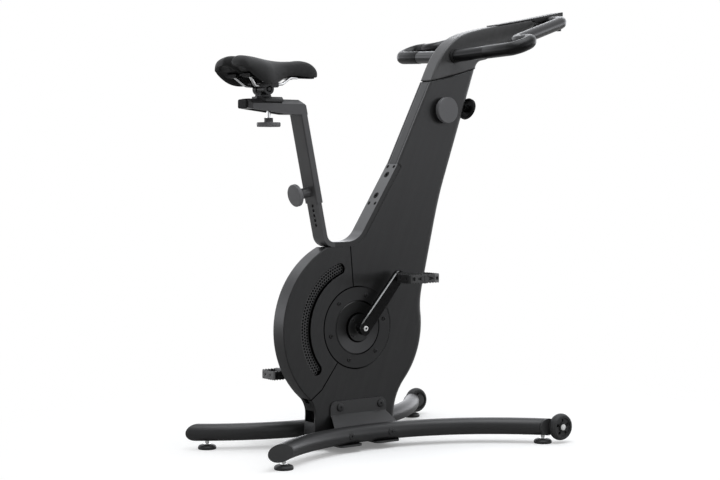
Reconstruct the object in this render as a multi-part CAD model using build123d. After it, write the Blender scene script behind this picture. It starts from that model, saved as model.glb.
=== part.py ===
from build123d import *
import math
import os

os.makedirs("parts", exist_ok=True)

# Exercise bike, in millimetres. +X is forward, +Y is the rider's left, +Z is up and the floor is z = 0.
# Pieces are drawn about the crank axle at x = 0, and centre_x moves them so that the bike's box is
# centred over the origin.
rear_reach = 386.4
front_reach = 720.0
centre_x = (rear_reach - front_reach) / 2

# Wooden body
axle_z = 307.0
body_half = 24.0
core_half = 16.0
rear_radius = 229.0
front_radius = 220.0
cavity_radius = 200.0
nose_fillet = 20.0
edge_fillet = 2.5
leg_bottom = 20.5
column_top_rear = (242.5, 943.5)
column_top_mid = (322.0, 961.5)
column_top_front = (404.0, 984.0)
column_neck = (295.0, 682.0)
column_slope = 23.0

# Access covers and bearings
cover_radius = 105.0
cover_hole = 106.0
panel_hole = 105.3
ledge_radius = 78.0
ledge_half = 19.0
disc_radius = 68.3
disc_half = 27.0
hub_radius = 36.0
hub_half = 31.0
bearing_radius = 21.0
cover_screw_radius = 86.0

# Vent slot, as an arc about the axle
vent_radius = 162.0
vent_width = 30.0
vent_from = 110.0
vent_to = 218.0

# Seat bar: inner faces of the post, the flat run and the strip along the column
bar_thickness = 13.0
bar_half = 23.0
post_tilt = 12.1
post_foot = (-90.6, 528.5)
strip_foot = (1.9, 528.5)
strip_end = (131.5, 727.0)
post_length = 242.0
post_bend = 22.0
strip_bend = 58.0
index_pitch = 12.5
index_count = 6
index_at = 134.0
index_hole = 4.4

# Seat sleeve, beam and saddle slider
sleeve_from = 103.0
sleeve_to = 335.0
sleeve_wall = 3.0
sleeve_play = 0.35
beam_half = 26.0
beam_shoulder = 875.0
beam_top = 886.0
clamp_x = -256.0
tilt_x = -272.0
tilt_z = 910.0
pin_radius = 4.0
running_play = 0.05

# Drive
shaft_radius = 10.0
crank_length = 170.0
crank_angle = 49.2
right_crank_reach = 60.0
left_crank_reach = 80.0
crank_pulley_radius = 78.0
jack_small_radius = 24.0
jack_big_radius = 46.0
flywheel_pulley_radius = 24.0
jack_distance = 118.0
jack_angle = 58.0
flywheel_radius = 190.0
belt_thickness = 2.0
belt_play = 0.35

# Handlebar loop
bar_radius = 16.5
grip_radius = 17.4
bar_x = 322.0
bar_z = 1013.5
rear_rise = 21.5
front_rise = 15.5
corner_x = 407.0

# Base
tube_radius = 22.0
tube_wall = 3.0
tube_z = 42.5
tube_arc = 558.0
tube_near_x = -12.0
tube_near_y = 74.0
rear_cut = 185.0
front_cut = 283.0
wheel_x = 453.7
wheel_z = 41.8
wheel_y = 300.7
wheel_radius = 35.0
foot_rear_x = -331.0
foot_front_x = 416.0

pieces = {}


def side(sketch, y_low, y_high):
    # Extrudes a sketch drawn in (x, z) between two y stations.
    plane = Plane(origin=(0, y_high, 0), x_dir=(1, 0, 0), z_dir=(0, -1, 0))
    return extrude(plane * sketch, amount=y_high - y_low)


def rod(radius, y_low, y_high, x, z):
    # Cylinder along Y.
    return Pos(x, (y_low + y_high) / 2, z) * Rot(90, 0, 0) * Cylinder(radius, y_high - y_low)


def peg(radius, z_low, z_high, x, y):
    # Cylinder along Z.
    return Pos(x, y, (z_low + z_high) / 2) * Cylinder(radius, z_high - z_low)


def turned(profile, x, z):
    # Revolves a closed (radius, y) profile about the Y axis through (x, z).
    return Pos(x, 0, z) * revolve(make_face(Polyline(*profile, close=True)), Axis.Y)


def block(x_low, x_high, y_low, y_high, z_low, z_high):
    centre = Pos((x_low + x_high) / 2, (y_low + y_high) / 2, (z_low + z_high) / 2)
    return centre * Box(x_high - x_low, y_high - y_low, z_high - z_low)


def mirrored(shape):
    return mirror(shape, about=Plane.XZ)


def polar(radius, degrees):
    turn = math.radians(degrees)
    return (radius * math.cos(turn), axle_z + radius * math.sin(turn))


def polygon(*points):
    return make_face(Polyline(*points, close=True))


def offset_path(points, distance):
    # Moves an open polyline to the right of its direction of travel.
    lines = []
    for start, end in zip(points, points[1:]):
        length = math.dist(start, end)
        step = ((end[0] - start[0]) / length, (end[1] - start[1]) / length)
        shift = (step[1] * distance, -step[0] * distance)
        lines.append(((start[0] + shift[0], start[1] + shift[1]), step))
    moved = [lines[0][0]]
    for (a, u), (b, v) in zip(lines, lines[1:]):
        cross = u[0] * v[1] - u[1] * v[0]
        run = ((b[0] - a[0]) * v[1] - (b[1] - a[1]) * v[0]) / cross
        moved.append((a[0] + run * u[0], a[1] + run * u[1]))
    (last, step) = lines[-1]
    length = math.dist(points[-2], points[-1])
    moved.append((last[0] + step[0] * length, last[1] + step[1] * length))
    return moved


def edges_along(shape, curves, half):
    # Edges of a slab that lie on the given (x, z) curves in the planes y = half and y = -half.
    found = []
    for curve in curves:
        middle = curve @ 0.5
        for edge in shape.edges():
            point = edge @ 0.5
            near = math.dist((point.X, point.Z), (middle.X, middle.Y)) < 1.5
            if near and abs(abs(point.Y) - half) < 0.01:
                found.append(edge)
    return found


# Seat bar
post_up = (-math.sin(math.radians(post_tilt)), math.cos(math.radians(post_tilt)))
post_plane = Plane(
    origin=(post_foot[0], 0, post_foot[1]), x_dir=(post_up[1], 0, -post_up[0]), z_dir=(post_up[0], 0, post_up[1])
)
post_top = (post_foot[0] + post_up[0] * post_length, post_foot[1] + post_up[1] * post_length)
bar_inner = [post_top, post_foot, strip_foot, strip_end]
bar_outer = offset_path(bar_inner, bar_thickness)


def bar_face():
    inner = FilletPolyline(*bar_inner, radius=(post_bend, strip_bend))
    outer = FilletPolyline(*bar_outer, radius=(post_bend + bar_thickness, strip_bend + bar_thickness))
    ends = [Line(bar_inner[0], bar_outer[0]), Line(bar_inner[-1], bar_outer[-1])]
    return make_face(inner.edges() + outer.edges() + ends)


def on_strip(along, across):
    # Point of the strip's inner face, a distance back from its upper end and y = across.
    run = ((strip_end[0] - strip_foot[0]), (strip_end[1] - strip_foot[1]))
    length = math.hypot(*run)
    return (strip_end[0] - run[0] / length * along, across, strip_end[1] - run[1] / length * along)


def strip_screw(along, across, head, shank):
    # Countersunk screw flush with the strip, with and without its socket.
    run = ((strip_end[0] - strip_foot[0]), (strip_end[1] - strip_foot[1]))
    length = math.hypot(*run)
    out = Vector(-run[1] / length, 0, run[0] / length)
    plane = Plane(origin=on_strip(along, across), z_dir=out)
    cone = Pos(0, 0, -head / 4) * Cone(shank, head, head / 2)
    full = cone + Pos(0, 0, -head / 2 - 11) * Cylinder(shank, 22)
    socket = Pos(0, 0, -head / 4) * extrude(RegularPolygon(head * 0.45, 6), amount=head / 2)
    return plane * full, plane * (full - socket)


bar_screws = []
bar_screw_holes = []
screw_places = [(34, 0, 9.0, 4.5), (98, 0, 9.0, 4.5)]
for along, across in ((9, 13), (9, -13), (122, 13), (122, -13)):
    screw_places.append((along, across, 5.0, 2.5))
for place in screw_places:
    hole, screw = strip_screw(*place)
    bar_screw_holes.append(hole)
    bar_screws.append(screw)

index_holes = []
for step in range(-index_count - 1, index_count + 1):
    at = post_plane * Pos(4.5 - bar_thickness, 0, index_at + step * index_pitch)
    index_holes.append(at * Rot(0, 90, 0) * Cylinder(index_hole, 9.4))

seat_bar = side(bar_face(), -bar_half, bar_half)
seat_bar = seat_bar - index_holes - bar_screw_holes
pieces["seat_bar"] = seat_bar
pieces["seat_bar_screws"] = Compound(children=bar_screws)

# Wooden body: one outline, split into a core, two panels and the rear cover
brow = polar(front_radius, 8)
chin = polar(front_radius, -42)
heel = polar(rear_radius, 229)
nape = (-math.sqrt(rear_radius**2 - (522 - axle_z) ** 2), 522)
bar_middle = offset_path(bar_inner, bar_thickness / 2)
column_front = Line(column_top_front, column_neck)
column_curve = Spline(
    column_neck, (251.5, 523), (227, 420), brow, tangents=[(-0.3395, -0.9406), (0.139, -0.990)]
)
belly = ThreePointArc(brow, polar(front_radius, -17), chin)
ankle = Spline(chin, (127, 66), tangents=[(-0.669, -0.743), (-0.02, -1)])
shin = Line((127, 66), (126, leg_bottom))
calf = Line((-138, leg_bottom), (-132.5, 86))
hock = Spline((-132.5, 86), heel, tangents=[(0.08, 1), (-0.755, 0.656)])
back = ThreePointArc(heel, (-rear_radius, axle_z), nape)
spine = Line(strip_end, column_top_rear)
under_bar = FilletPolyline(nape, bar_middle[2], bar_middle[3], radius=strip_bend + bar_thickness / 2)
seam = ThreePointArc(column_top_rear, column_top_mid, column_top_front)
front_curves = [column_front, column_curve, belly, ankle, shin]
outline = front_curves + [Line((126, leg_bottom), (-138, leg_bottom)), calf, hock, back]
outline = outline + under_bar.edges() + [Line(bar_middle[3], strip_end), spine, seam]

body = side(make_face(outline), -body_half, body_half)
body = fillet(edges_along(body, front_curves, body_half), nose_fillet)
body = fillet(edges_along(body, [calf, hock, back, spine], body_half), edge_fillet)
body = body - side(bar_face(), -bar_half - 10, bar_half + 10)
body = body - block(-200, -50, -40, 40, post_foot[1] - bar_thickness - 0.3, 600)

# The rear cover meets the panels along a broken line with a narrow gap
cover_line = [(-25, 545), (-13, 412), (-12, 385), (-48, 245), (-62, 222), (-112.5, 155), (-146, 131)]
rear_zone = side(polygon(*cover_line, (-300, 131), (-300, 545)), -40, 40)
gap_line = offset_path(cover_line, -0.8)
rear_gap = side(polygon(*gap_line, (-300, 120), (-300, 560)), -40, 40)
cavity = rod(cavity_radius, -core_half, core_half, 0, axle_z)


def lid_holes(radius):
    hole = rod(radius, ledge_half, 40, 0, axle_z) + rod(ledge_radius, 10, 40, 0, axle_z)
    return hole + mirrored(hole)



# Column slot for the tongue of the head
column_up = (math.sin(math.radians(column_slope)), math.cos(math.radians(column_slope)))
tongue_plane = Plane(
    origin=(column_top_mid[0], 0, column_top_mid[1]),
    x_dir=(column_up[1], 0, -column_up[0]),
    z_dir=(column_up[0], 0, column_up[1]),
)
tongue_slot = tongue_plane * block(-18.5, 18.5, -7.5, 7.5, -205, 30)

# Head clamp knob, square to the front of the column
front_normal = Vector(0.9406, 0, -0.3395)
knob_plane = Plane(origin=(368.3, 0, 882.0), z_dir=front_normal)
stud = knob_plane * Pos(0, 0, -17.5) * Cylinder(5, 71)
stud_hole = knob_plane * Pos(0, 0, -20) * Cylinder(5 + running_play, 76)
knob_points = [
    (0, 4), (11, 4), (11, 21), (24, 21), (25.5, 15), (28, 15), (29.5, 16.5), (29.5, 24), (28, 26), (8, 26.6), (0, 26.6)
]
disc_knob = revolve(Plane.XZ * polygon(*knob_points), Axis.Z)
pieces["head_clamp_knob"] = knob_plane * disc_knob + stud

# Resistance knob, spindle and cable drum
knob_x = 286.0
knob_z = 869.0
dial = turned(
    [(0, -27), (13, -27), (13, -31), (32.5, -31), (34, -32.5), (34, -42.5), (32.8, -44), (0, -44)],
    knob_x,
    knob_z,
)
spindle = rod(5, -29, -12, knob_x, knob_z) + rod(14, -15.5, -10.5, knob_x, knob_z)
pieces["resistance_knob"] = dial + spindle
spindle_hole = rod(5 + running_play, -30, -15, knob_x, knob_z)
drum_pocket = rod(16, -16, -10, knob_x, knob_z)

# Brake cable: down the right face of the core, then round the edge of the cavity
cable_radius = 2.5
cable_arc = cavity_radius - 4.5
cable_y = -12.6
cable_lead = (knob_x - 26, knob_z - 72)
cable_bend = polar(cable_arc, 62)
tangent = (-math.sin(math.radians(62)), math.cos(math.radians(62)))
cable_meet = (cable_bend[0] - tangent[0] * 62, cable_bend[1] - tangent[1] * 62)
cable_run = FilletPolyline(cable_lead, cable_meet, cable_bend, radius=30)
cable_round = ThreePointArc(cable_bend, polar(cable_arc, 100), polar(cable_arc, 138))
cable_plane = Plane(origin=(0, cable_y, 0), x_dir=(1, 0, 0), z_dir=(0, -1, 0))
cable_path = cable_plane * (cable_run + cable_round)
cable_section = Plane(origin=cable_path @ 0, z_dir=cable_path % 0)
pieces["brake_cable"] = sweep(cable_section * Circle(cable_radius), path=cable_path)
groove_path = cable_plane * FilletPolyline((knob_x - 14, knob_z), cable_lead, cable_meet, cable_bend, radius=30)
groove_section = Plane(origin=groove_path @ 0, z_dir=groove_path % 0)
cable_groove = sweep(groove_section * Rectangle(9, 9), path=groove_path)

# Port in the back of the leg
port_pocket = block(-150, -108, -19, 19, 72, 101)
catch_slot = block(-160, -118, -9, 9, 119, 133)
pieces["port_plate"] = fillet(block(-112, -108, -18.6, 18.6, 72.4, 100.6).edges().filter_by(Axis.X), 3)

# Base: bowed tubes on levelling feet, joined to the leg by brackets and cross plates
base_x = (-73.7, 52.8)
leg_bolt_x = (-57.6, 71.4)
leg_bolt_z = 105.7


def tube_y(x):
    return tube_near_y + tube_arc - math.sqrt(tube_arc**2 - (x - tube_near_x) ** 2)


def bowed(section):
    # Left tube: turns a section along the base arc, which bows towards the leg.
    axis = Axis((tube_near_x, tube_near_y + tube_arc, 0), (0, 0, 1))
    plane = Plane(origin=(tube_near_x, tube_near_y, tube_z), z_dir=(1, 0, 0))
    start = plane * Rot(0, 0, 50) * section
    return revolve(start.rotate(axis, -46), axis=axis, revolution_arc=106)


solid_tube = bowed(Circle(tube_radius))
rear_slab = block(-600, -150, rear_cut, 600, 0, 200)
front_slab = block(200, 800, front_cut, 600, 0, 200)
cut_tube = bowed(Circle(tube_radius) - Circle(tube_radius - tube_wall)) - rear_slab - front_slab
tube_cap = solid_tube & block(-600, -150, rear_cut, rear_cut + 4, 0, 200)
feet_at = [(foot_rear_x, tube_y(foot_rear_x)), (foot_front_x, tube_y(foot_front_x))]


def base_bolt(x, y, z, head, shank, length):
    # Button-head bolt driven towards the leg from the left.
    dome = turned([(0, 0), (head, 0), (head, 1.5), (head * 0.75, 4.5), (head * 0.45, 5.5), (0, 5.5)], x, z)
    socket = Plane(origin=(x, 3, z), z_dir=(0, 1, 0)) * extrude(RegularPolygon(head * 0.42, 6), amount=6)
    return Pos(0, y, 0) * (dome - socket + rod(shank, -length, 0.5, x, z))


leg_bolts = []
for x in leg_bolt_x:
    leg_bolts.append(base_bolt(x, 28, leg_bolt_z, 8.5, 4, 22))
tube_bolts = []
for x in base_x:
    tube_bolts.append(base_bolt(x, tube_y(x) + tube_radius - 1.5, tube_z, 9, 5, 86))
spacers = []
for x in base_x:
    spacer = rod(9, body_half, tube_y(x) - tube_radius - 1.4, x, tube_z)
    spacers.append(spacer - rod(5, 0, 120, x, tube_z))

for x, y in feet_at:
    cut_tube = cut_tube - peg(5 + running_play, 10, 30, x, y)
for x in base_x:
    face_y = tube_y(x) + tube_radius - 1.5
    cut_tube = cut_tube - side(Pos(x, tube_z) * RegularPolygon(5.5, 8), 0, 150)
    cut_tube = cut_tube - side(Pos(x, tube_z) * RegularPolygon(9.9, 8), face_y, 150)
pieces["left_base_tube"] = cut_tube
pieces["right_base_tube"] = mirrored(cut_tube)
pieces["tube_end_caps"] = Compound(children=[tube_cap, mirrored(tube_cap)])
left_bolts = leg_bolts + tube_bolts
base_bolts = left_bolts + [mirrored(bolt) for bolt in left_bolts]
pieces["base_bolts"] = Compound(children=base_bolts)
pieces["tube_spacers"] = Compound(children=spacers + [mirrored(spacer) for spacer in spacers])

flange = side(fillet(polygon((-88, 84), (90, 84), (90, 122), (-88, 122)).vertices().sort_by(Axis.Y)[-2:], 18), 24, 28)
web_line = [(24, 100), (24, 86), (64, 53)]
web_face = polygon(*web_line, *reversed(offset_path(web_line, -4)))
web_plane = Plane(origin=(-120, 0, 0), x_dir=(0, 1, 0), z_dir=(1, 0, 0))
web = extrude(web_plane * web_face, amount=240)
web_trim = extrude(polygon((-88, 24), (-88, 32), (-104, 72), (105, 72), (88, 32), (88, 24)), amount=200)
bracket = flange + (web & web_trim)
bracket = bracket - solid_tube
for bolt in left_bolts:
    bracket = bracket - bolt
pieces["left_bracket"] = bracket
pieces["right_bracket"] = mirrored(bracket)

plates = []
for x_low, x_high in ((-105, -35), (10, 85)):
    plates.append(fillet(block(x_low, x_high, -97, 97, 15.5, leg_bottom).edges().filter_by(Axis.Z), 12))
pieces["cross_plates"] = Compound(children=plates)

wheel_slot = Pos((424 + wheel_x) / 2, tube_z) * SlotCenterToCenter(wheel_x - 424, 32)
wheel_plate = side(Pos(424, tube_z) * Ellipse(28, 22) + wheel_slot, front_cut, front_cut + 4)
axle = rod(6, front_cut + 4, front_cut + 5.2, wheel_x, wheel_z) + rod(4, front_cut, 311, wheel_x, wheel_z)
wheel_cap = turned([(0, 311), (8, 311), (8, 312), (5, 314), (0, 314.5)], wheel_x, wheel_z)
wheel_plate = wheel_plate + axle + wheel_cap
pieces["wheel_plates"] = Compound(children=[wheel_plate, mirrored(wheel_plate)])

wheel_low = wheel_y - 12
wheel_face = make_face(
    Polyline((4 + running_play, wheel_low + 1), (12, wheel_low + 1), (12, wheel_low + 4), (24, wheel_low + 4)).edges()
    + Polyline((24, wheel_low + 4), (25, wheel_low), (30, wheel_low)).edges()
    + [ThreePointArc((30, wheel_low), (wheel_radius, wheel_y), (30, wheel_low + 24))]
    + Polyline((30, wheel_low + 24), (25, wheel_low + 24), (24, wheel_low + 20), (12, wheel_low + 20)).edges()
    + Polyline((12, wheel_low + 20), (12, wheel_low + 22), (4 + running_play, wheel_low + 22)).edges()
    + [Line((4 + running_play, wheel_low + 22), (4 + running_play, wheel_low + 1))]
)
wheel = Pos(wheel_x, 0, wheel_z) * revolve(wheel_face, Axis.Y)
for spoke in range(5):
    turn = math.radians(72 * spoke + 18)
    window = rod(4, wheel_low, wheel_low + 24, wheel_x + 18 * math.cos(turn), wheel_z + 18 * math.sin(turn))
    wheel = wheel - window
pieces["left_wheel"] = wheel
pieces["right_wheel"] = mirrored(wheel)

foot_face = make_face(
    Polyline((0, 0), (22, 0), (23.5, 1.5), (23.5, 6), (21, 9.5), (16, 11.3), (9, 12), (9, 13.5), (5, 13.5)).edges()
    + Polyline((5, 13.5), (5, 36), (0, 36), (0, 0)).edges()
)
foot = revolve(Plane.XZ * foot_face, Axis.Z)
foot_names = ["rear", "front"]
for name, (x, y) in zip(foot_names, feet_at):
    pieces["left_" + name + "_foot"] = Pos(x, y, 0) * foot
    pieces["right_" + name + "_foot"] = Pos(x, -y, 0) * foot

# Access covers with bearing rings, and their screws
lid_profile = [
    (29.5, 16), (ledge_radius - 0.2, 16), (ledge_radius - 0.2, ledge_half), (cover_radius, ledge_half),
    (cover_radius, 23.4), (cover_radius - 0.6, 24), (disc_radius, 24), (disc_radius - 1, 25.4), (40, disc_half),
    (hub_radius, disc_half), (hub_radius, hub_half - 1), (hub_radius - 1, hub_half), (14, hub_half), (14, 27),
    (bearing_radius, 27), (bearing_radius, 14.2), (29.5, 14.2),
]
lid = turned(lid_profile, 0, axle_z)
screws = []
for step in range(6):
    x, z = polar(cover_screw_radius, 12 + 60 * step)
    head = turned([(0, 24), (5.2, 24), (4.2, 25.8), (0, 25.8)], x, z)
    screws.append(head + rod(2, 17, 24, x, z))
for step in range(4):
    x, z = polar(28, 45 + 90 * step)
    ring_head = turned([(0, hub_half), (3.4, hub_half), (2.6, 32.6), (0, 32.6)], x, z)
    screws.append(ring_head + rod(1.6, 24, hub_half, x, z))
lid = lid - screws
pieces["left_access_cover"] = lid
pieces["right_access_cover"] = mirrored(lid)
cover_screws = screws + [mirrored(screw) for screw in screws]
pieces["cover_screws"] = Compound(children=cover_screws)
bearing = turned(
    [(shaft_radius + running_play, 15), (bearing_radius, 15), (bearing_radius, 27), (shaft_radius + running_play, 27)],
    0,
    axle_z,
)
pieces["crank_bearings"] = Compound(children=[bearing, mirrored(bearing)])

# Cut the body into its layers
front_body = body - rear_gap - lid_holes(panel_hole)
slab_core = block(-700, 700, -core_half, core_half, 0, 1200)
slab_right = block(-700, 700, -body_half - 1, -core_half, 0, 1200)
slab_left = block(-700, 700, core_half, body_half + 1, 0, 1200)
ledge_screws = []
for screw in cover_screws:
    if abs(screw.center().Y) < 28:
        ledge_screws.append(screw)
core = front_body & slab_core
core = core - cavity - tongue_slot - stud_hole - drum_pocket - cable_groove - port_pocket - catch_slot
pieces["column_core"] = core - base_bolts - bar_screw_holes
right_panel = (front_body & slab_right) - spindle_hole - stud_hole - port_pocket
pieces["right_panel"] = right_panel - ledge_screws - base_bolts - bar_screw_holes
left_panel = (front_body & slab_left) - stud_hole - port_pocket
pieces["left_panel"] = left_panel - ledge_screws - base_bolts - bar_screw_holes

vent_arc = ThreePointArc(
    polar(vent_radius, vent_from), polar(vent_radius, (vent_from + vent_to) / 2), polar(vent_radius, vent_to)
)
vent_slot = side(SlotArc(vent_arc, vent_width), -40, 40)
rear_cover = (body & rear_zone) - cavity - lid_holes(cover_hole) - vent_slot - catch_slot
pieces["rear_cover"] = rear_cover - ledge_screws

mesh_holes = []
for row, radius in enumerate((149.5, 157.5, 165.5, 173.5)):
    count = 28
    pitch = (vent_to - vent_from) / count
    for step in range(count):
        x, z = polar(radius, vent_from + pitch * (step + 0.25 + 0.5 * (row % 2)))
        mesh_holes.append(Pos(x, z) * RegularPolygon(2.6, 4))
mesh_face = SlotArc(vent_arc, vent_width + 8) - mesh_holes
vent_mesh = side(mesh_face, 14.8, core_half)
pieces["vent_meshes"] = Compound(children=[vent_mesh, mirrored(vent_mesh)])

# Drive inside the cavity
jack_x, jack_z = polar(jack_distance, jack_angle)
shaft_ends = rod(8, 3 - right_crank_reach, left_crank_reach - 3, 0, axle_z)
pieces["crank_shaft"] = rod(shaft_radius, -38, 38, 0, axle_z) + shaft_ends
pulley_face = [
    (shaft_radius, 4.6), (22, 4.6), (22, 7), (66, 7), (66, 5), (crank_pulley_radius + 1, 5), (crank_pulley_radius, 5.4),
    (crank_pulley_radius, 12.1), (crank_pulley_radius + 1, 12.5), (66, 12.5), (66, 10.5), (22, 10.5), (22, 13.6),
    (shaft_radius, 13.6),
]
crank_pulley = turned(pulley_face, 0, axle_z)
for step in range(5):
    x, z = polar(44, 72 * step)
    crank_pulley = crank_pulley - rod(14, 0, 20, x, z)
pieces["crank_pulley"] = crank_pulley

flywheel_profile = [
    (16, -12.5), (34, -12.5), (34, -11), (148, -11), (150, -13.5), (flywheel_radius, -13.5), (flywheel_radius, -5.5),
    (150, -5.5), (148, -7), (34, -7), (34, -4.6), (flywheel_pulley_radius, -4.6), (flywheel_pulley_radius, 3.6),
    (16, 3.6),
]
flywheel = turned(flywheel_profile, 0, axle_z)
for step in range(6):
    x, z = polar(92, 60 * step)
    flywheel = flywheel - rod(30, -20, 0, x, z)
pieces["flywheel"] = flywheel
rings = []
for y_low, y_high in ((-12, -5), (-4, 3)):
    rings.append(rod(16, y_low, y_high, 0, axle_z) - rod(shaft_radius + running_play, -20, 20, 0, axle_z))
pieces["flywheel_bearings"] = Compound(children=rings)

jack_profile = [
    (8 + running_play, -4.2), (16, -4.2), (16, -3.8), (jack_big_radius, -3.8), (jack_big_radius, 3.2), (16, 3.2),
    (16, 5), (jack_small_radius, 5), (jack_small_radius, 12.6), (8 + running_play, 12.6),
]
pieces["jack_pulley"] = turned(jack_profile, jack_x, jack_z)
pivot_x, pivot_z = polar(187.5, 214)
jack_post = turned([(0, -4.4), (8, -4.4), (8, 13), (15, 13), (15, core_half), (0, core_half)], jack_x, jack_z)
pivot_post = turned([(0, -1), (4, -1), (4, 9.5), (6, 9.5), (6, core_half), (0, core_half)], pivot_x, pivot_z)
pieces["drive_posts"] = Compound(children=[jack_post, pivot_post])


def belt(low_radius, high_radius, y_low, y_high):
    # Loop about the crank axle and the jackshaft, just clear of both pulleys.
    loops = []
    for extra in (belt_play + belt_thickness, belt_play):
        low = Pos(0, axle_z) * Circle(low_radius + extra)
        high = Pos(jack_x, jack_z) * Circle(high_radius + extra)
        loops.append(make_hull(low.edges() + high.edges()))
    return side(loops[0] - loops[1], y_low, y_high)


pieces["primary_belt"] = belt(crank_pulley_radius, jack_small_radius, 5.6, 11.9)
pieces["secondary_belt"] = belt(flywheel_pulley_radius, jack_big_radius, -3.4, 2.8)

# Magnet carriage, which swings in from the rim of the flywheel
carriage_points = []
for radius, angles in ((186, range(158, 219, 4)), (126, range(208, 157, -5))):
    for angle in angles:
        carriage_points.append(polar(radius, angle))
carriage = side(polygon(*carriage_points), 0, 4)
carriage = carriage + rod(9, 0, 9, pivot_x, pivot_z) - rod(4 + running_play, -5, 20, pivot_x, pivot_z)
pieces["magnet_carriage"] = carriage
magnets = []
for angle in (164, 174, 184, 194):
    x, z = polar(170, angle)
    magnets.append(rod(12, -3.8, 0, x, z))
pieces["brake_magnets"] = Compound(children=magnets)

# Cranks, bolts and pedals. Each is drawn on the left, and the right one is turned and mirrored.
pedal_half = 48.0
cage_from = 36.0
cage_to = 96.0
cage_height = 22.0
tip_x, tip_z = polar(crank_length, crank_angle + 180)
half_turn = Pos(0, 0, axle_z) * Rot(0, 180, 0) * Pos(0, 0, -axle_z)


def crank_arm(reach):
    outline_face = make_hull(Circle(14.5).edges() + (Pos(crank_length, 0) * Circle(11)).edges())
    arm = side(Pos(0, axle_z) * Rot(0, 0, crank_angle + 180) * outline_face, reach - 15, reach)
    arm = fillet(arm.edges().group_by(Axis.Y)[-1], 5.5)
    arm = fillet(arm.edges().group_by(Axis.Y)[0], 4)
    arm = arm + rod(14, 38, reach - 11, 0, axle_z)
    arm = arm - rod(8, 30, reach - 3, 0, axle_z) - rod(7, reach - 3, reach + 10, 0, axle_z)
    return arm - rod(6, reach - 20, reach + 20, tip_x, tip_z)


def crank_bolt(reach):
    head = reach - 3
    cap = [(0, head), (6.9, head), (6.9, head + 3.5), (5.5, head + 4.5), (0, head + 4.5)]
    socket = Plane(origin=(0, head + 2, axle_z), z_dir=(0, 1, 0)) * extrude(RegularPolygon(3.6, 6), amount=4)
    return turned(cap, 0, axle_z) - socket


def pedal(inner):
    # A cage round the outer end of a barrel, which is open at the crank end for its spindle.
    middle = inner + (cage_from + cage_to) / 2
    length = cage_to - cage_from
    ring = RectangleRounded(2 * pedal_half, length, 7) - RectangleRounded(2 * pedal_half - 9, length - 9, 3)
    cage = Pos(tip_x, middle, tip_z - cage_height / 2) * extrude(ring, amount=cage_height)
    for along in (-11.5, 11.5):
        dot = Plane(origin=(tip_x, middle + along, tip_z), z_dir=(1, 0, 0)) * Cylinder(2.4, 2 * pedal_half - 3)
        cage = cage - (dot & (block(tip_x - 60, tip_x - 45, 0, 300, 0, 900) + block(tip_x + 45, tip_x + 60, 0, 300, 0, 900)))
    for low, high in ((-37, -14), (14, 37)):
        cage = cage - block(tip_x + low, tip_x + high, inner + cage_to - 3, inner + 120, tip_z - 4.5, tip_z + 4.5)
        cage = cage - block(tip_x + low, tip_x + high, inner, inner + cage_from + 3, tip_z - 4.5, tip_z + 4.5)
    bar = block(tip_x - pedal_half + 2, tip_x + pedal_half - 2, middle - 9, middle + 9, tip_z - 6.5, tip_z + 6.5)
    barrel = rod(12.5, inner - 3, inner + cage_to - 1, tip_x, tip_z)
    return cage + bar + barrel - rod(6 + running_play, inner - 10, inner + 87.5, tip_x, tip_z)


def to_right(shape):
    return half_turn * mirrored(shape)


def pedal_spindle(reach):
    return rod(6, reach - 15, reach + 94, tip_x, tip_z)


pieces["left_crank"] = crank_arm(left_crank_reach)
pieces["right_crank"] = to_right(crank_arm(right_crank_reach))
pieces["crank_bolts"] = Compound(children=[crank_bolt(left_crank_reach), to_right(crank_bolt(right_crank_reach))])
pieces["pedal_spindles"] = Compound(
    children=[pedal_spindle(left_crank_reach), to_right(pedal_spindle(right_crank_reach))]
)
pieces["left_pedal"] = pedal(left_crank_reach + 8)
pieces["right_pedal"] = to_right(pedal(right_crank_reach + 8))

# Handlebar: half of the loop in two planes, then its mirror image
rear_cos = math.cos(math.radians(rear_rise))
front_cos = math.cos(math.radians(front_rise))
corner_z = bar_z + (corner_x - bar_x) * math.tan(math.radians(rear_rise))
rear_plane = Plane(
    origin=(bar_x, 0, bar_z),
    x_dir=(rear_cos, 0, math.sin(math.radians(rear_rise))),
    z_dir=(-math.sin(math.radians(rear_rise)), 0, rear_cos),
)
front_plane = Plane(
    origin=(corner_x, 0, corner_z),
    x_dir=(front_cos, 0, math.sin(math.radians(front_rise))),
    z_dir=(-math.sin(math.radians(front_rise)), 0, front_cos),
)
rear_end = (corner_x - bar_x) / rear_cos
front_end = (668 - corner_x) / front_cos
rear_turn = (347 - bar_x) / rear_cos


def rear_path(start):
    lean = 25 / 220
    return rear_plane * FilletPolyline(
        ((start - 24) * lean / rear_cos, start), (rear_turn, 244), (rear_end, 244), (rear_end, 205), radius=(31, 29)
    )


front_path = front_plane * FilletPolyline((0, 205), (0, 166), (front_end, 84), (front_end, -2), radius=(36, 45))
loop_path = Wire(rear_path(-4).edges() + front_path.edges())
loop_section = Plane(origin=loop_path @ 0, z_dir=loop_path % 0)
left_half = block(0, 1000, 0, 500, 900, 1300)
bar_solid = sweep(loop_section * Circle(bar_radius), path=loop_path) & left_half
bar_hollow = sweep(loop_section * Circle(bar_radius - 2.2), path=loop_path) & left_half
bar_tube = bar_solid - bar_hollow
pieces["handlebar"] = bar_tube + mirrored(bar_tube)
grip_path = rear_path(138)
grip_section = Plane(origin=grip_path @ 0, z_dir=grip_path % 0)
grip = sweep(grip_section * (Circle(grip_radius) - Circle(bar_radius + 0.1)), path=grip_path)
pieces["grips"] = Compound(children=[grip, mirrored(grip)])
collar_path = rear_path(24)
collar_section = Plane(origin=collar_path @ 0, z_dir=collar_path % 0)
collar = collar_section * extrude(Circle(18) - Circle(bar_radius + 0.1), amount=9)
collar = collar - block(0, 1000, -50, body_half + 0.2, 900, 1300)
pieces["bar_collars"] = Compound(children=[collar, mirrored(collar)])

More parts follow.
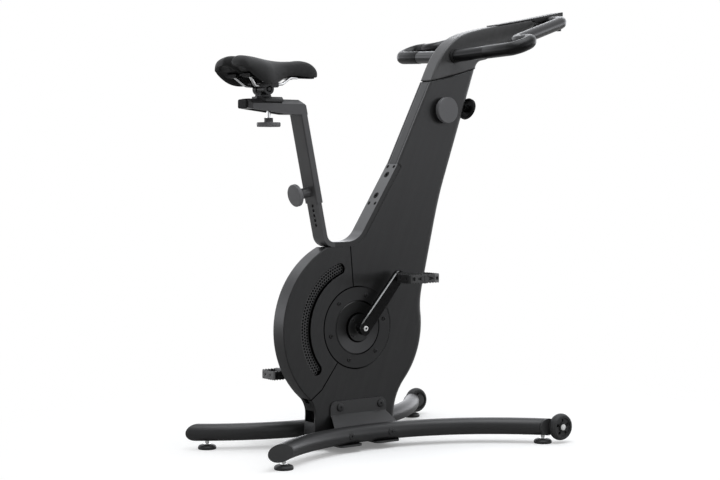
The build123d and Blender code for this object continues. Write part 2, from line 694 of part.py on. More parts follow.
# Head block and tongue
head_gap = 2.6
head_bottom = [(242.9, 943.5 + head_gap), (322.0, 961.5 + head_gap), (404.9, 984 + head_gap)]
under_start = head_bottom[2]
under_curve = Spline(under_start, (419, 1003), (448, 1011), tangents=[(0.33, 0.94), (1, 0.42)])
under_line = Line((448, 1011), (610, 1101))
crown_curve = Spline(
    (449, 1096.6), (395, 1084.5), (342, 1067), (287, 1023), head_bottom[0], tangents=[(-1, -0.188), (-0.44, -0.9)]
)
head_face = make_face(
    [ThreePointArc(*head_bottom), under_curve, under_line, Line((610, 1101), (613, 1127.5))]
    + [Line((613, 1127.5), (449, 1096.6)), crown_curve]
)
head = side(head_face, -body_half, body_half)
head = fillet(edges_along(head, [under_curve, under_line], body_half), 16)
head = fillet(edges_along(head, [crown_curve], body_half), 4)
lip_low = [(x, z - head_gap + 0.4) for x, z in head_bottom]
lip_high = [(x, z + 4) for x, z in reversed(head_bottom)]
lip_ends = [Line(lip_low[2], lip_high[0]), Line(lip_high[2], lip_low[0])]
lip_face = make_face([ThreePointArc(*lip_low), ThreePointArc(*lip_high)] + lip_ends)
head = head + (side(lip_face, -20, 20) & block(247.5, 399, -40, 40, 900, 1100))
tongue = tongue_plane * block(-18, 18, -7, 7, -200, 26)
pieces["head_tongue"] = tongue
bar_whole = bar_solid + mirrored(bar_solid)
pieces["head_block"] = head - bar_whole - tongue

# Tablet plate: bent sheet lying on the head
plate_low = [(478, 1102.4), (614, 1127.8), (718, 1149.4)]
plate_top = offset_path(plate_low, -2.6)
plate = side(polygon(*plate_low, *reversed(plate_top)), -body_half, body_half)
plate = plate + block(717, front_reach, -body_half, body_half, 1141, 1151.6)
pieces["tablet_plate"] = plate

# Seat sleeve, pin collar and beam, welded into one piece
sleeve_front = sleeve_play + sleeve_wall
sleeve_back = -bar_thickness - sleeve_play - sleeve_wall
sleeve = post_plane * block(sleeve_back, sleeve_front, -beam_half, beam_half, sleeve_from, sleeve_to)
sleeve = fillet(sleeve.edges().filter_by(Axis((0, 0, 0), (post_up[0], 0, post_up[1]))), 3)
bore = post_plane * block(
    -bar_thickness - sleeve_play, sleeve_play, -bar_half - sleeve_play, bar_half + sleeve_play, 50, sleeve_to - 8
)
beam_side = side(
    polygon(
        (-332, 865), (-332, 877), (-323, 887), (-178, 887), (-161, 872), (-156, 849), (-208.5, 849), (-324, 862)
    ),
    -40,
    40,
)
beam_points = [
    (-beam_half, 800), (beam_half, 800), (beam_half, beam_shoulder), (15, beam_top), (-15, beam_top),
    (-beam_half, beam_shoulder),
]
beam_plane = Plane(origin=(-400, 0, 0), x_dir=(0, 1, 0), z_dir=(1, 0, 0))
beam_section = extrude(beam_plane * polygon(*beam_points), amount=300)
beam_plan = Pos(-250, 0, 800) * extrude(RectangleRounded(164, 56, 24), amount=100) + block(-240, -100, -40, 40, 800, 900)
beam = beam_side & beam_section & beam_plan
beam_room = side(
    polygon((-316, 840), (-316, 880), (-184, 880), (-170, 868), (-168, 854), (-209, 854), (-214, 840)), -20, 20
)
screw_slot = block(clamp_x - 36, clamp_x + 36, -5.2, 5.2, 840, 900)
collar_low = sleeve_back - 27
pin_collar = post_plane * Pos((sleeve_back + collar_low) / 2, 0, index_at) * Rot(0, 90, 0) * Cylinder(13.5, 27)
pin_bore = post_plane * Pos(-40, 0, index_at) * Rot(0, 90, 0) * Cylinder(pin_radius + running_play, 60)
seat_carrier = sleeve + beam + pin_collar - beam_room - bore - screw_slot - pin_bore
pieces["seat_carrier"] = seat_carrier

# Index pin, drawn back from the post
pin_tip = -bar_thickness - 0.6
pin_end = -64.0
pin = post_plane * Pos((pin_tip + pin_end) / 2, 0, index_at) * Rot(0, 90, 0) * Cylinder(pin_radius, pin_tip - pin_end)
pin_knob_points = [(0, 0), (12, 0), (12, 2.2), (27, 2.2), (28.5, 3.7), (28.5, 11), (27, 12.8), (9, 13.4), (0, 13.4)]
pin_knob = revolve(Plane.XZ * polygon(*pin_knob_points), Axis.Z)
pin_knob = post_plane * Pos(collar_low - 7.6, 0, index_at) * Rot(0, -90, 0) * pin_knob
pieces["index_pin"] = pin + pin_knob

# Saddle slider with its yoke and tilt bolt
slider_points = [(-26.5, 879.5), (26.5, 879.5), (26.5, 885.5), (21, 891.5), (-21, 891.5), (-26.5, 885.5)]
slider = extrude(Plane(origin=(-298, 0, 0), x_dir=(0, 1, 0), z_dir=(1, 0, 0)) * polygon(*slider_points), amount=68)
slider_plan = polygon((-298, -11), (-278, -30), (-230, -30), (-230, 30), (-278, 30), (-298, 11))
slider = slider & extrude(Pos(0, 0, 860) * slider_plan, amount=60)
slider_room = extrude(
    beam_plane * polygon((-40, 860), (40, 860), (15.4, beam_top + 0.4), (-15.4, beam_top + 0.4)), amount=300
)
yoke = side(polygon((tilt_x - 17, 891), (tilt_x + 17, 891), (tilt_x + 10, 908), (tilt_x - 10, 908)), -12, 12)
yoke = yoke + rod(12, -12, 12, tilt_x, tilt_z)
tilt_nut = turned([(0, 22), (5.6, 22), (5.6, 27), (4.6, 28.5), (0, 28.5)], tilt_x, tilt_z)
tilt_bolt = rod(4, -23, 23, tilt_x, tilt_z) + tilt_nut + mirrored(tilt_nut)
slider = slider - slider_room + yoke + tilt_bolt - peg(4 + running_play, 870, 890, clamp_x, 0)
pieces["saddle_slider"] = slider

clamp_screw = peg(4, 824, 889.5, clamp_x, 0) + peg(5.6, 822, 878, clamp_x, 0)
clamp_knob = Pos(clamp_x, 0, 844) * Rot(180, 0, 0) * disc_knob
pieces["saddle_clamp_knob"] = clamp_knob + clamp_screw

# Saddle: jaws, rails, base shell and cushion
rail_points = [
    (-334, 35, 940), (-309, 22, 917), (-228, 20, 923), (-203, 17, 939.6), (-178, 10, 939.6)
]
rail_path = FilletPolyline(*rail_points, radius=11)
rail = sweep(Plane(origin=rail_path @ 0, z_dir=rail_path % 0) * Circle(3.5), path=rail_path)
pieces["saddle_rails"] = Compound(children=[rail, mirrored(rail)])
jaw = rod(14, 13, 27, tilt_x, tilt_z)
jaw = jaw + fillet(block(tilt_x - 27, tilt_x + 27, 13, 29, 914, 927).edges().filter_by(Axis.Y), 4)
jaw = jaw - rod(4 + running_play, 0, 40, tilt_x, tilt_z) - rod(8, 21.5, 40, tilt_x, tilt_z) - rail
bridge = block(tilt_x - 12, tilt_x + 12, -14, 14, 923, 927)
pieces["saddle_jaws"] = jaw + mirrored(jaw) + bridge

# Saddle stations: x, half width, lower edge and top
saddle_stations = [
    (-112, 9, 943, 956),
    (-131, 18, 942, 972),
    (-161, 21, 943, 982.5),
    (-197, 25, 945, 980.5),
    (-225, 33, 940, 979.5),
    (-250, 46, 931, 980.5),
    (-277, 62, 924, 983.5),
    (-305, 75, 922, 987),
    (-332, 81, 926, 990.5),
    (-352, 77, 936, 989.5),
    (-364, 62, 952, 983),
]


def saddle_section(x, half, low, top):
    # Flat underneath, with drawn-in sides and a crown.
    shoulder = (half * 0.86, top - (top - low) * 0.3)
    foot = (half * 0.86, low)
    waist = (low + shoulder[1]) / 2
    edges = [
        Line((-foot[0], low), foot),
        ThreePointArc(foot, (half, waist), shoulder),
        ThreePointArc(shoulder, (0, top), (-shoulder[0], shoulder[1])),
        ThreePointArc((-shoulder[0], shoulder[1]), (-half, waist), (-foot[0], low)),
    ]
    plane = Plane(origin=(x, 0, 0), x_dir=(0, 1, 0), z_dir=(1, 0, 0))
    return plane * make_face(edges)


def shell_plan(inset):
    # Plan of the hard shell under the cushion.
    points = [(-124, 8), (-161, 12), (-206, 15), (-245, 29), (-280, 48), (-320, 61), (-346, 56)]
    points = [(x, half - inset) for x, half in points]
    below = [(x, -half) for x, half in points]
    ends = [Line(points[0], below[0]), Line(points[-1], below[-1])]
    return make_face(Spline(*points).edges() + Spline(*below).edges() + ends)


cushion = loft([saddle_section(*station) for station in saddle_stations])
notch = Pos(-372, 0, 900) * extrude(make_hull(Circle(12).edges() + (Pos(52, 0) * Circle(5)).edges()), amount=120)
hollow = Pos(0, 0, 900) * extrude(shell_plan(0), amount=45)
cushion = cushion - notch - hollow
pieces["saddle_cushion"] = cushion

lobe_line = [(-352, 944), (-341, 937), (-322, 935)]
lobe = side(polygon(*lobe_line, *reversed(offset_path(lobe_line, -4))), 16, 52)
rib = side(polygon((-344, 939), (-322, 937), (-322, 942), (-344, 942)), 28, 42)
shell = Pos(0, 0, 940) * extrude(shell_plan(0.4), amount=4.6)
shell = shell + lobe + rib + mirrored(lobe) + mirrored(rib)
pieces["saddle_shell"] = shell - notch - cushion - rail - mirrored(rail)

for name, shape in pieces.items():
    export_step(Pos(centre_x, 0, 0) * shape, "parts/" + name + ".step")
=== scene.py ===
import math

import bmesh
import bpy
import numpy as np
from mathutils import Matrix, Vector


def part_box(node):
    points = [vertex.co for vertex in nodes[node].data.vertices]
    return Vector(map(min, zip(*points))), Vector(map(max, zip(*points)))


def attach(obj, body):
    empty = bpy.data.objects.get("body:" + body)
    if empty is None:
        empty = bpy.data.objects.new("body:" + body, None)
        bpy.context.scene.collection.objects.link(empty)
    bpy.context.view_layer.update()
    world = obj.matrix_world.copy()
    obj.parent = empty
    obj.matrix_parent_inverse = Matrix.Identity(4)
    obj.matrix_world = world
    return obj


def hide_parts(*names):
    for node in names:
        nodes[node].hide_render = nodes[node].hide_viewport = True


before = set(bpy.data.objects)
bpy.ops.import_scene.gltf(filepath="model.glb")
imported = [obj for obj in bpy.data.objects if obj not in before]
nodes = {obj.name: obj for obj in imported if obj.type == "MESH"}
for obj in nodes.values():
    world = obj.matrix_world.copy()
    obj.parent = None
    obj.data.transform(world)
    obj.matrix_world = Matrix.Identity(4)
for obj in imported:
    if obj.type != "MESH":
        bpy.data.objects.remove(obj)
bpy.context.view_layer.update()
mm = 0.001


def middle(node):
    low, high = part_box(node)
    return (low + high) / 2


axle = middle("crank_shaft")
print("frame loaded:", len(nodes), "nodes, crank axle at x", round(axle.x, 4), "z", round(axle.z, 4))


# Shader maths: a Socket stands for one output, and arithmetic on it adds Math nodes
class Socket:
    def __init__(self, paint, socket):
        self.paint, self.socket = paint, socket

    def __add__(self, other):
        return self.paint.maths("ADD", self, other)

    def __radd__(self, other):
        return self.paint.maths("ADD", other, self)

    def __sub__(self, other):
        return self.paint.maths("SUBTRACT", self, other)

    def __rsub__(self, other):
        return self.paint.maths("SUBTRACT", other, self)

    def __mul__(self, other):
        return self.paint.maths("MULTIPLY", self, other)

    def __rmul__(self, other):
        return self.paint.maths("MULTIPLY", other, self)

    def __pow__(self, other):
        return self.paint.maths("POWER", self, other)


# How a joint between two pieces looks where it is only painted, and the near-black of painted shade and
# shadow
jointShade = {"Base Color": (0.0015, 0.0015, 0.0015, 1.0), "Roughness": 1.0, "Specular IOR Level": 0.0}


# The nodes of one material or world: node() adds any node from its type, settings and socket values
class Paint:
    def __init__(self, owner):
        owner.use_nodes = True
        self.owner, self.tree = owner, owner.node_tree
        self.tree.nodes.clear()
        self.spot = self.node("ShaderNodeTexCoord", out="Object")

    def node(self, kind, settings=None, sockets=None, out=0):
        made = self.tree.nodes.new(kind)
        for key, value in (settings or {}).items():
            setattr(made, key, value)
        for key, value in (sockets or {}).items():
            if isinstance(value, Socket):
                self.tree.links.new(value.socket, made.inputs[key])
            else:
                made.inputs[key].default_value = value
        return Socket(self, made.outputs[out]) if len(made.outputs) else made

    def maths(self, operation, first, second=0.0):
        return self.node("ShaderNodeMath", {"operation": operation}, {0: first, 1: second})

    def unsigned(self, value):
        return self.maths("ABSOLUTE", value)

    def within(self, value, low, high):  # value from low to high becomes 0 to 1
        sockets = {"Value": value, "From Min": low, "From Max": high}
        return self.node("ShaderNodeMapRange", {"clamp": True}, sockets)

    def cells(self, size, lean=(0, 0, 0)):  # Object coordinates counted in cells of this size, in metres
        turn = tuple(math.radians(angle) for angle in lean)
        scale = size if isinstance(size, tuple) else (size,) * 3
        sockets = {"Vector": self.spot, "Rotation": turn, "Scale": scale}
        return self.node("ShaderNodeMapping", {"vector_type": "TEXTURE"}, sockets)

    def noise(self, size, detail=3.0, lean=(0, 0, 0), roughness=0.55):
        sockets = {"Vector": self.cells(size, lean), "Scale": 1.0, "Detail": detail, "Roughness": roughness}
        return self.node("ShaderNodeTexNoise", {}, sockets)

    def pebbles(self, size):
        sockets = {"Vector": self.cells(size), "Scale": 1.0}
        return self.node("ShaderNodeTexVoronoi", {"feature": "F1"}, sockets)

    def axis(self, letter):  # one coordinate in millimetres, with x counted from the crank axle
        value = self.node("ShaderNodeSeparateXYZ", {}, {0: self.spot}, out=letter)
        return (value - (axle.x if letter == "X" else 0.0)) * (1 / mm)

    def aside(self):  # distance from the bike's middle plane in millimetres
        return self.unsigned(self.axis("Y"))

    def past(self, value, edge, soft=0.3):  # 0 below the edge and 1 above it
        return self.within(value, edge - soft, edge + soft)

    def near(self, distance, reach, soft=0.4):  # 1 closer than reach
        return 1.0 - self.past(distance, reach, soft)

    def away(self, first, second):  # distance from an axis, from two coordinates
        return (first * first + second * second) ** 0.5

    def fromAxle(self):  # distance from the crank axle in millimetres
        return self.away(self.axis("X"), self.axis("Z") - axle.z / mm)

    def line(self, first, last):  # distance in millimetres from a line between two points (x, z)
        x, z = self.axis("X") - first[0], self.axis("Z") - first[1]
        runX, runZ = last[0] - first[0], last[1] - first[1]
        share = self.within(x * runX + z * runZ, 0.0, runX**2 + runZ**2)
        return self.away(x - runX * share, z - runZ * share)

    def any(self, *shares):  # the largest of several shares
        most = shares[0]
        for share in shares[1:]:
            most = self.maths("MAXIMUM", most, share)
        return most

    def blend(self, share, low, high):  # a colour between two greys, colours or sockets
        sockets = {0: share}
        for key, tone in ((6, low), (7, high)):
            plain = tone if isinstance(tone, tuple) else (tone,) * 3
            sockets[key] = tone if isinstance(tone, Socket) else (*plain, 1.0)
        return self.node("ShaderNodeMix", {"data_type": "RGBA"}, sockets, out=2)

    def bump(self, height, depth, edge=0.0, samples=6):  # edge rounds corners by that radius
        sockets = {"Height": height, "Distance": depth, "Strength": 1.0}
        if edge:
            sockets["Normal"] = self.node("ShaderNodeBevel", {"samples": samples}, {"Radius": edge})
        return self.node("ShaderNodeBump", {}, sockets)

    def ray(self, kind):  # 1 for rays of this kind
        return self.node("ShaderNodeLightPath", out="Is " + kind + " Ray")

    def towards(self, vector, way):  # how far a vector goes in a direction
        settings, sockets = {"operation": "DOT_PRODUCT"}, {0: vector, 1: way}
        return self.node("ShaderNodeVectorMath", settings, sockets, out="Value")

    def surface(self, sockets, darkJointAndShade=None):  # the mask is 1 in a dark joint and where shade is painted
        shader = self.node("ShaderNodeBsdfPrincipled", {}, sockets)
        if darkJointAndShade:
            dark = self.node("ShaderNodeBsdfPrincipled", {}, jointShade)
            shader = self.node("ShaderNodeMixShader", {}, {0: darkJointAndShade, 1: shader, 2: dark})
        self.node("ShaderNodeOutputMaterial", {}, {"Surface": shader})
        return self.owner


def newPaint(name):
    return Paint(bpy.data.materials.new(name))


# Dark joint lines and painted shade, in millimetres about the axle: the rear cover's edge and the steps of
# the lid are dark joints, the walls of the vent slot are painted shade, and the vent sheet has painted
# shadow inside radius sheet. Fade gives the x between which a ring grows, as painted shade on a step's
# shaded side, and faint its least share.
jointsAndShade = {
    "cover": [(-25, 545), (-13, 412), (-12, 385), (-48, 245), (-62, 222), (-112.5, 155), (-146, 131)],
    "width": 1.5, "lid": 105.6, "lidWidth": 1.7, "lidFade": (70.0, 0.0), "disc": 68.6, "discWidth": 2.1,
    "discFade": (-30.0, 20.0), "hub": 36.6, "hubWidth": 2.0, "hubFade": (30.0, 0.0), "faint": 0.25,
    "face": 23.2, "slot": (140.0, 185.0), "sheet": 149.5, "sheetSoft": 2.0,
}


def ringAndShadeSide(paint, step):  # a dark joint ring about the axle, and how far it has grown: the growth paints shade on the side of the step in shadow
    fade = paint.within(paint.axis("X"), *jointsAndShade[step + "Fade"])
    return paint.near(paint.unsigned(paint.fromAxle() - jointsAndShade[step]), jointsAndShade[step + "Width"]), fade


# Black-stained wood: fibres and slow tone bands that run with the column, and a mottled sheen. The head is
# paler, and the column's front edges are rounder.
woodLook = {
    "dark": 0.005, "light": 0.015, "head": (0.038, 0.06), "headFrom": 946.0, "headX": 242.0,
    "headSlope": 0.25,
    "fibre": (0.9 * mm, 0.9 * mm, 40 * mm), "band": (14 * mm, 14 * mm, 420 * mm), "mottle": 5 * mm,
    "lean": (0, 21, 0), "mix": (0.5, 0.3, 0.2), "contrast": (0.3, 0.7), "roughness": 0.28, "spread": 0.12,
    "sheen": 0.2, "sheenMiddle": 0.4, "depth": 0.1 * mm, "edge": 0.8 * mm, "roundEdge": 5 * mm,
    "roundFrom": 70.0, "roundSoft": 40.0,
}
paint = newPaint("stained_wood")
fibre = paint.noise(woodLook["fibre"], 4.0, woodLook["lean"])
band = paint.noise(woodLook["band"], 2.0, woodLook["lean"])
mottle = paint.noise(woodLook["mottle"], 4.0)
fibreShare, bandShare, mottleShare = woodLook["mix"]
tone = paint.within(fibreShare * fibre + bandShare * band + mottleShare * mottle, *woodLook["contrast"])
radius = paint.fromAxle()
slotFrom, slotTo = jointsAndShade["slot"]
# Painted shade: the vent slot's walls, behind the panel face, are painted near-black
behindFace = paint.near(paint.aside(), jointsAndShade["face"])
slotWallShade = behindFace * paint.past(radius, slotFrom) * paint.near(radius, slotTo)
# Painted shade: the ring round the lid is a dark joint line that grows darker on the side of the step in
# shadow
rim, rimShadeSide = ringAndShadeSide(paint, "lid")
coverRuns = zip(jointsAndShade["cover"], jointsAndShade["cover"][1:])
coverEdge = [paint.near(paint.line(*ends), jointsAndShade["width"]) for ends in coverRuns]
inFront = paint.past(paint.axis("X"), woodLook["roundFrom"], woodLook["roundSoft"])
headSeam = woodLook["headSlope"] * (paint.axis("X") - woodLook["headX"])
onHead = paint.past(paint.axis("Z") - headSeam, woodLook["headFrom"])
column = paint.blend(tone, woodLook["dark"], woodLook["light"])
sheen = woodLook["sheen"] * (mottle - woodLook["sheenMiddle"])
wood = paint.surface({
    "Base Color": paint.blend(onHead, column, paint.blend(tone, *woodLook["head"])),
    "Roughness": woodLook["roughness"] + woodLook["spread"] * fibre + sheen,
    "Normal": paint.bump(fibre, woodLook["depth"], woodLook["edge"] + woodLook["roundEdge"] * inFront),
}, paint.any(slotWallShade, rim * rimShadeSide, *coverEdge))

# Lid lacquer: satin, with a disc dished towards the hub and a dark joint line round each step, darkened
# further by painted shade on the side of the step in shadow
lidLook = {"dark": 0.005, "light": 0.008, "patch": 60 * mm, "roughness": 0.36, "spread": 0.08,
           "skin": 0.5 * mm, "grain": 0.012 * mm, "dish": 6.5 * mm, "edge": 0.5 * mm}
paint = newPaint("lid_lacquer")
skin = paint.noise(lidLook["skin"], 2.0)
dish = paint.within(paint.fromAxle(), jointsAndShade["hub"], jointsAndShade["disc"])
stepLinesAndShade = []
# Each ring is a dark joint line at faint strength, with painted shade beyond that on the side of the step
# in shadow
for step in ("lid", "disc", "hub"):
    ring, fade = ringAndShadeSide(paint, step)
    stepLinesAndShade.append(ring * (jointsAndShade["faint"] + (1 - jointsAndShade["faint"]) * fade))
lidCoat = paint.surface({
    "Base Color": paint.blend(paint.noise(lidLook["patch"], 2.0), lidLook["dark"], lidLook["light"]),
    "Roughness": lidLook["roughness"] + lidLook["spread"] * (skin - 0.5),
    "Normal": paint.bump(lidLook["grain"] * skin + lidLook["dish"] * dish, 1.0, lidLook["edge"]),
}, paint.any(*stepLinesAndShade))

# Vent sheet: grey coat, with painted shadow along the slot's inner wall
meshLook = {"dark": 0.04, "light": 0.055, "skin": 0.6 * mm, "roughness": 0.4, "spread": 0.08,
            "depth": 0.02 * mm}
paint = newPaint("mesh_coat")
skin = paint.noise(meshLook["skin"], 2.0)
# Painted shadow: the sheet is painted near-black inside radius sheet, next to the slot's inner wall
meshCoat = paint.surface({
    "Base Color": paint.blend(skin, meshLook["dark"], meshLook["light"]),
    "Roughness": meshLook["roughness"] + meshLook["spread"] * skin,
    "Normal": paint.bump(skin, meshLook["depth"]),
}, paint.near(paint.fromAxle(), jointsAndShade["sheet"], jointsAndShade["sheetSoft"]))

# Saddle cover: small pebbles with a soft sheen
leatherLook = {"dark": 0.016, "light": 0.026, "patch": 22 * mm, "pebble": 1.1 * mm, "fine": 0.35 * mm,
               "roughness": 0.5, "spread": 0.2, "specular": 0.2, "depth": 0.05 * mm, "pebbleShare": 0.75}
paint = newPaint("saddle_cover")
pebble = paint.pebbles(leatherLook["pebble"])
fine = paint.noise(leatherLook["fine"], 3.0)
grain = leatherLook["pebbleShare"] * pebble + (1 - leatherLook["pebbleShare"]) * fine
patch = paint.noise(leatherLook["patch"], 3.0)
leather = paint.surface({
    "Base Color": paint.blend(patch, leatherLook["dark"], leatherLook["light"]),
    "Roughness": leatherLook["roughness"] + leatherLook["spread"] * pebble,
    "Specular IOR Level": leatherLook["specular"],
    "Normal": paint.bump(grain, leatherLook["depth"]),
})

# What a coated finish has where its own look doesn't say
usualLook = {"patch": 60 * mm, "drift": (0.85, 1.15), "spread": 0.08, "metallic": 0.0, "edge": 0.0,
             "coat": 0.0, "specular": 0.5}


# Coated and moulded finishes: a tone that drifts a little and a fine skin. Where zone is given, the other
# look takes over inside it.
def coated(name, look, other=None, zone=None):
    first, second = ({**usualLook, **one} for one in (look, other or look))
    paint = newPaint(name)
    drift = paint.noise(first["patch"], 2.0)
    skin = paint.noise(first["grain"], 2.0)
    share = zone(paint) if zone else 0.0

    def mixed(key):
        low, high = first[key], second[key]
        return low if low == high else low + (high - low) * share

    tones = []
    for shade in first["drift"]:
        pair = [tuple(shade * part for part in one["colour"]) for one in (first, second)]
        tones.append(paint.blend(share, *pair) if zone else pair[0])
    return paint.surface({
        "Base Color": paint.blend(drift, *tones),
        "Roughness": mixed("roughness") + first["spread"] * (skin - 0.5),
        "Metallic": mixed("metallic"),
        "Normal": paint.bump(skin, first["depth"], first["edge"]),
        "Coat Weight": first["coat"],
        "Specular IOR Level": first["specular"],
    })


# Where a second look starts on a node, in millimetres. The left pedal is at pedalX, the right one opposite.
zones = {
    "clampX": -256.0, "clampZ": 833.0, "clampRadius": 7.0, "stud": 13.0, "wheelX": 453.7, "wheelZ": 41.8,
    "wheelHub": 15.0, "wheelCap": 310.8, "pedalX": -111.1, "pedalPlate": 44.0, "flank": 162.0,
    "flankEnd": 31.0, "flankRest": 0.25, "barFoot": -70.0, "barEdge": 22.6,
}


def onScrew(paint):
    radius = paint.away(paint.axis("X") - zones["clampX"], paint.axis("Y"))
    return (1.0 - paint.past(radius, zones["clampRadius"])) * paint.past(paint.axis("Z"), zones["clampZ"])


def onStud(paint):
    return paint.past(paint.axis("Z"), zones["stud"])


def onWheelCap(paint):
    return paint.past(paint.aside(), zones["wheelCap"])


def onWheelHub(paint):
    radius = paint.away(paint.axis("X") - zones["wheelX"], paint.axis("Z") - zones["wheelZ"])
    return 1.0 - paint.past(radius, zones["wheelHub"])


def onPedalPlate(paint):
    return paint.past(paint.unsigned(paint.axis("X") - zones["pedalX"]), zones["pedalPlate"])


def onPedalFlank(paint):
    ahead = paint.past(paint.axis("X") + zones["pedalX"], zones["flankEnd"])
    strength = zones["flankRest"] + (1 - zones["flankRest"]) * ahead
    return paint.past(paint.aside(), zones["flank"]) * strength


def onBarEdge(paint):
    return paint.past(paint.aside(), zones["barEdge"]) * paint.past(paint.axis("X"), zones["barFoot"])


blackLook = {
    "colour": (0.029, 0.029, 0.0295), "roughness": 0.38, "grain": 0.7 * mm, "depth": 0.012 * mm,
    "edge": 0.7 * mm}
seatLook = {
    "colour": (0.055, 0.055, 0.0565), "roughness": 0.32, "grain": 0.7 * mm, "depth": 0.012 * mm,
    "edge": 0.7 * mm}
brightLook = {
    "colour": (0.74, 0.74, 0.73), "roughness": 0.2, "grain": 0.3 * mm, "depth": 0.006 * mm,
    "edge": 0.3 * mm, "metallic": 1.0}
capLook = {
    "colour": (0.8, 0.8, 0.79), "roughness": 0.3, "grain": 0.3 * mm, "depth": 0.006 * mm, "edge": 0.3 * mm,
    "metallic": 0.35}
knobLook = {
    "colour": (0.12, 0.12, 0.124), "roughness": 0.55, "grain": 0.35 * mm, "depth": 0.03 * mm,
    "edge": 0.4 * mm}
footLook = {
    "colour": (0.012, 0.012, 0.012), "roughness": 0.5, "grain": 0.4 * mm, "depth": 0.02 * mm,
    "edge": 0.4 * mm}
tyreLook = {
    "colour": (0.019, 0.019, 0.0195), "roughness": 0.6, "grain": 0.8 * mm, "depth": 0.04 * mm,
    "edge": 0.5 * mm}
pedalLook = {
    "colour": (0.012, 0.012, 0.012), "roughness": 0.48, "grain": 0.4 * mm, "depth": 0.03 * mm,
    "edge": 0.6 * mm}
barEdgeLook = {"colour": (0.013, 0.013, 0.013), "roughness": 0.45}
hubLook = {"colour": (0.003, 0.003, 0.003), "roughness": 0.5}
flankLook = {"colour": (0.15, 0.15, 0.15), "roughness": 0.5}
plateLook = {"colour": (0.12, 0.12, 0.12), "roughness": 0.5}

blackCoat = coated("black_coat", blackLook)
seatCoat = coated("seat_coat", seatLook, barEdgeLook, onBarEdge)
wheelPlate = coated("wheel_plate_coat", blackLook, capLook, onWheelCap)
clampCoat = coated("clamp_coat", {
    "colour": (0.01, 0.01, 0.0102), "roughness": 0.42, "grain": 0.5 * mm, "depth": 0.012 * mm,
    "edge": 0.7 * mm})
greyTube = coated("grey_tube_coat", {
    "colour": (0.019, 0.019, 0.0194), "roughness": 0.4, "grain": 0.6 * mm, "depth": 0.01 * mm})
barCoat = coated("bar_coat", {
    "colour": (0.005, 0.005, 0.0053), "roughness": 0.3, "grain": 0.6 * mm, "depth": 0.006 * mm,
    "specular": 0.36})
glossCoat = coated("gloss_coat", {
    "colour": (0.004, 0.004, 0.0042), "roughness": 0.12, "grain": 2.5 * mm, "depth": 0.008 * mm,
    "spread": 0.04, "coat": 0.2, "specular": 0.3})
chrome = coated("rail_chrome", {
    "colour": (0.93, 0.93, 0.93), "roughness": 0.09, "grain": 0.4 * mm, "depth": 0.002 * mm, "spread": 0.02,
    "metallic": 1.0})
knobPlastic = coated("knob_plastic", knobLook)
clampKnob = coated("clamp_knob", knobLook, brightLook, onScrew)
footPlastic = coated("foot_plastic", footLook, brightLook, onStud)
capPlastic = coated("cap_plastic", {
    "colour": (0.022, 0.022, 0.022), "roughness": 0.55, "grain": 0.4 * mm, "depth": 0.02 * mm,
    "edge": 0.4 * mm})
pedalBlack = coated("pedal_black", pedalLook, flankLook, onPedalFlank)
pedalGrey = coated("pedal_grey", pedalLook, plateLook, onPedalPlate)
gripRubber = coated("grip_rubber", {
    "colour": (0.004, 0.004, 0.004), "roughness": 0.36, "grain": 0.5 * mm, "depth": 0.03 * mm,
    "specular": 0.26})
blackRubber = coated("black_rubber", {
    "colour": (0.006, 0.006, 0.006), "roughness": 0.6, "grain": 0.5 * mm, "depth": 0.04 * mm})
shadeBlack = coated("shade_black", {
    "colour": (0.003, 0.003, 0.003), "roughness": 0.6, "grain": 0.5 * mm, "depth": 0.02 * mm,
    "specular": 0.15})
wheelRubber = coated("wheel_rubber", tyreLook, hubLook, onWheelHub)
brightSteel = coated("bright_steel", brightLook)
paleSteel = coated("pale_steel", capLook)
screwBlack = coated("screw_black", {
    "colour": (0.012, 0.012, 0.012), "roughness": 0.2, "grain": 0.3 * mm, "depth": 0.01 * mm,
    "edge": 0.2 * mm})
darkSteel = coated("dark_steel", {
    "colour": (0.09, 0.09, 0.09), "roughness": 0.34, "grain": 0.3 * mm, "depth": 0.01 * mm,
    "edge": 0.3 * mm, "metallic": 1.0})
castIron = coated("cast_iron", {
    "colour": (0.002, 0.002, 0.002), "roughness": 0.8, "grain": 0.8 * mm, "depth": 0.03 * mm,
    "specular": 0.1})
alloy = coated("turned_alloy", {
    "colour": (0.62, 0.62, 0.63), "roughness": 0.32, "grain": 0.3 * mm, "depth": 0.01 * mm,
    "edge": 0.3 * mm, "metallic": 1.0})
print("finishes ready:", len(bpy.data.materials))

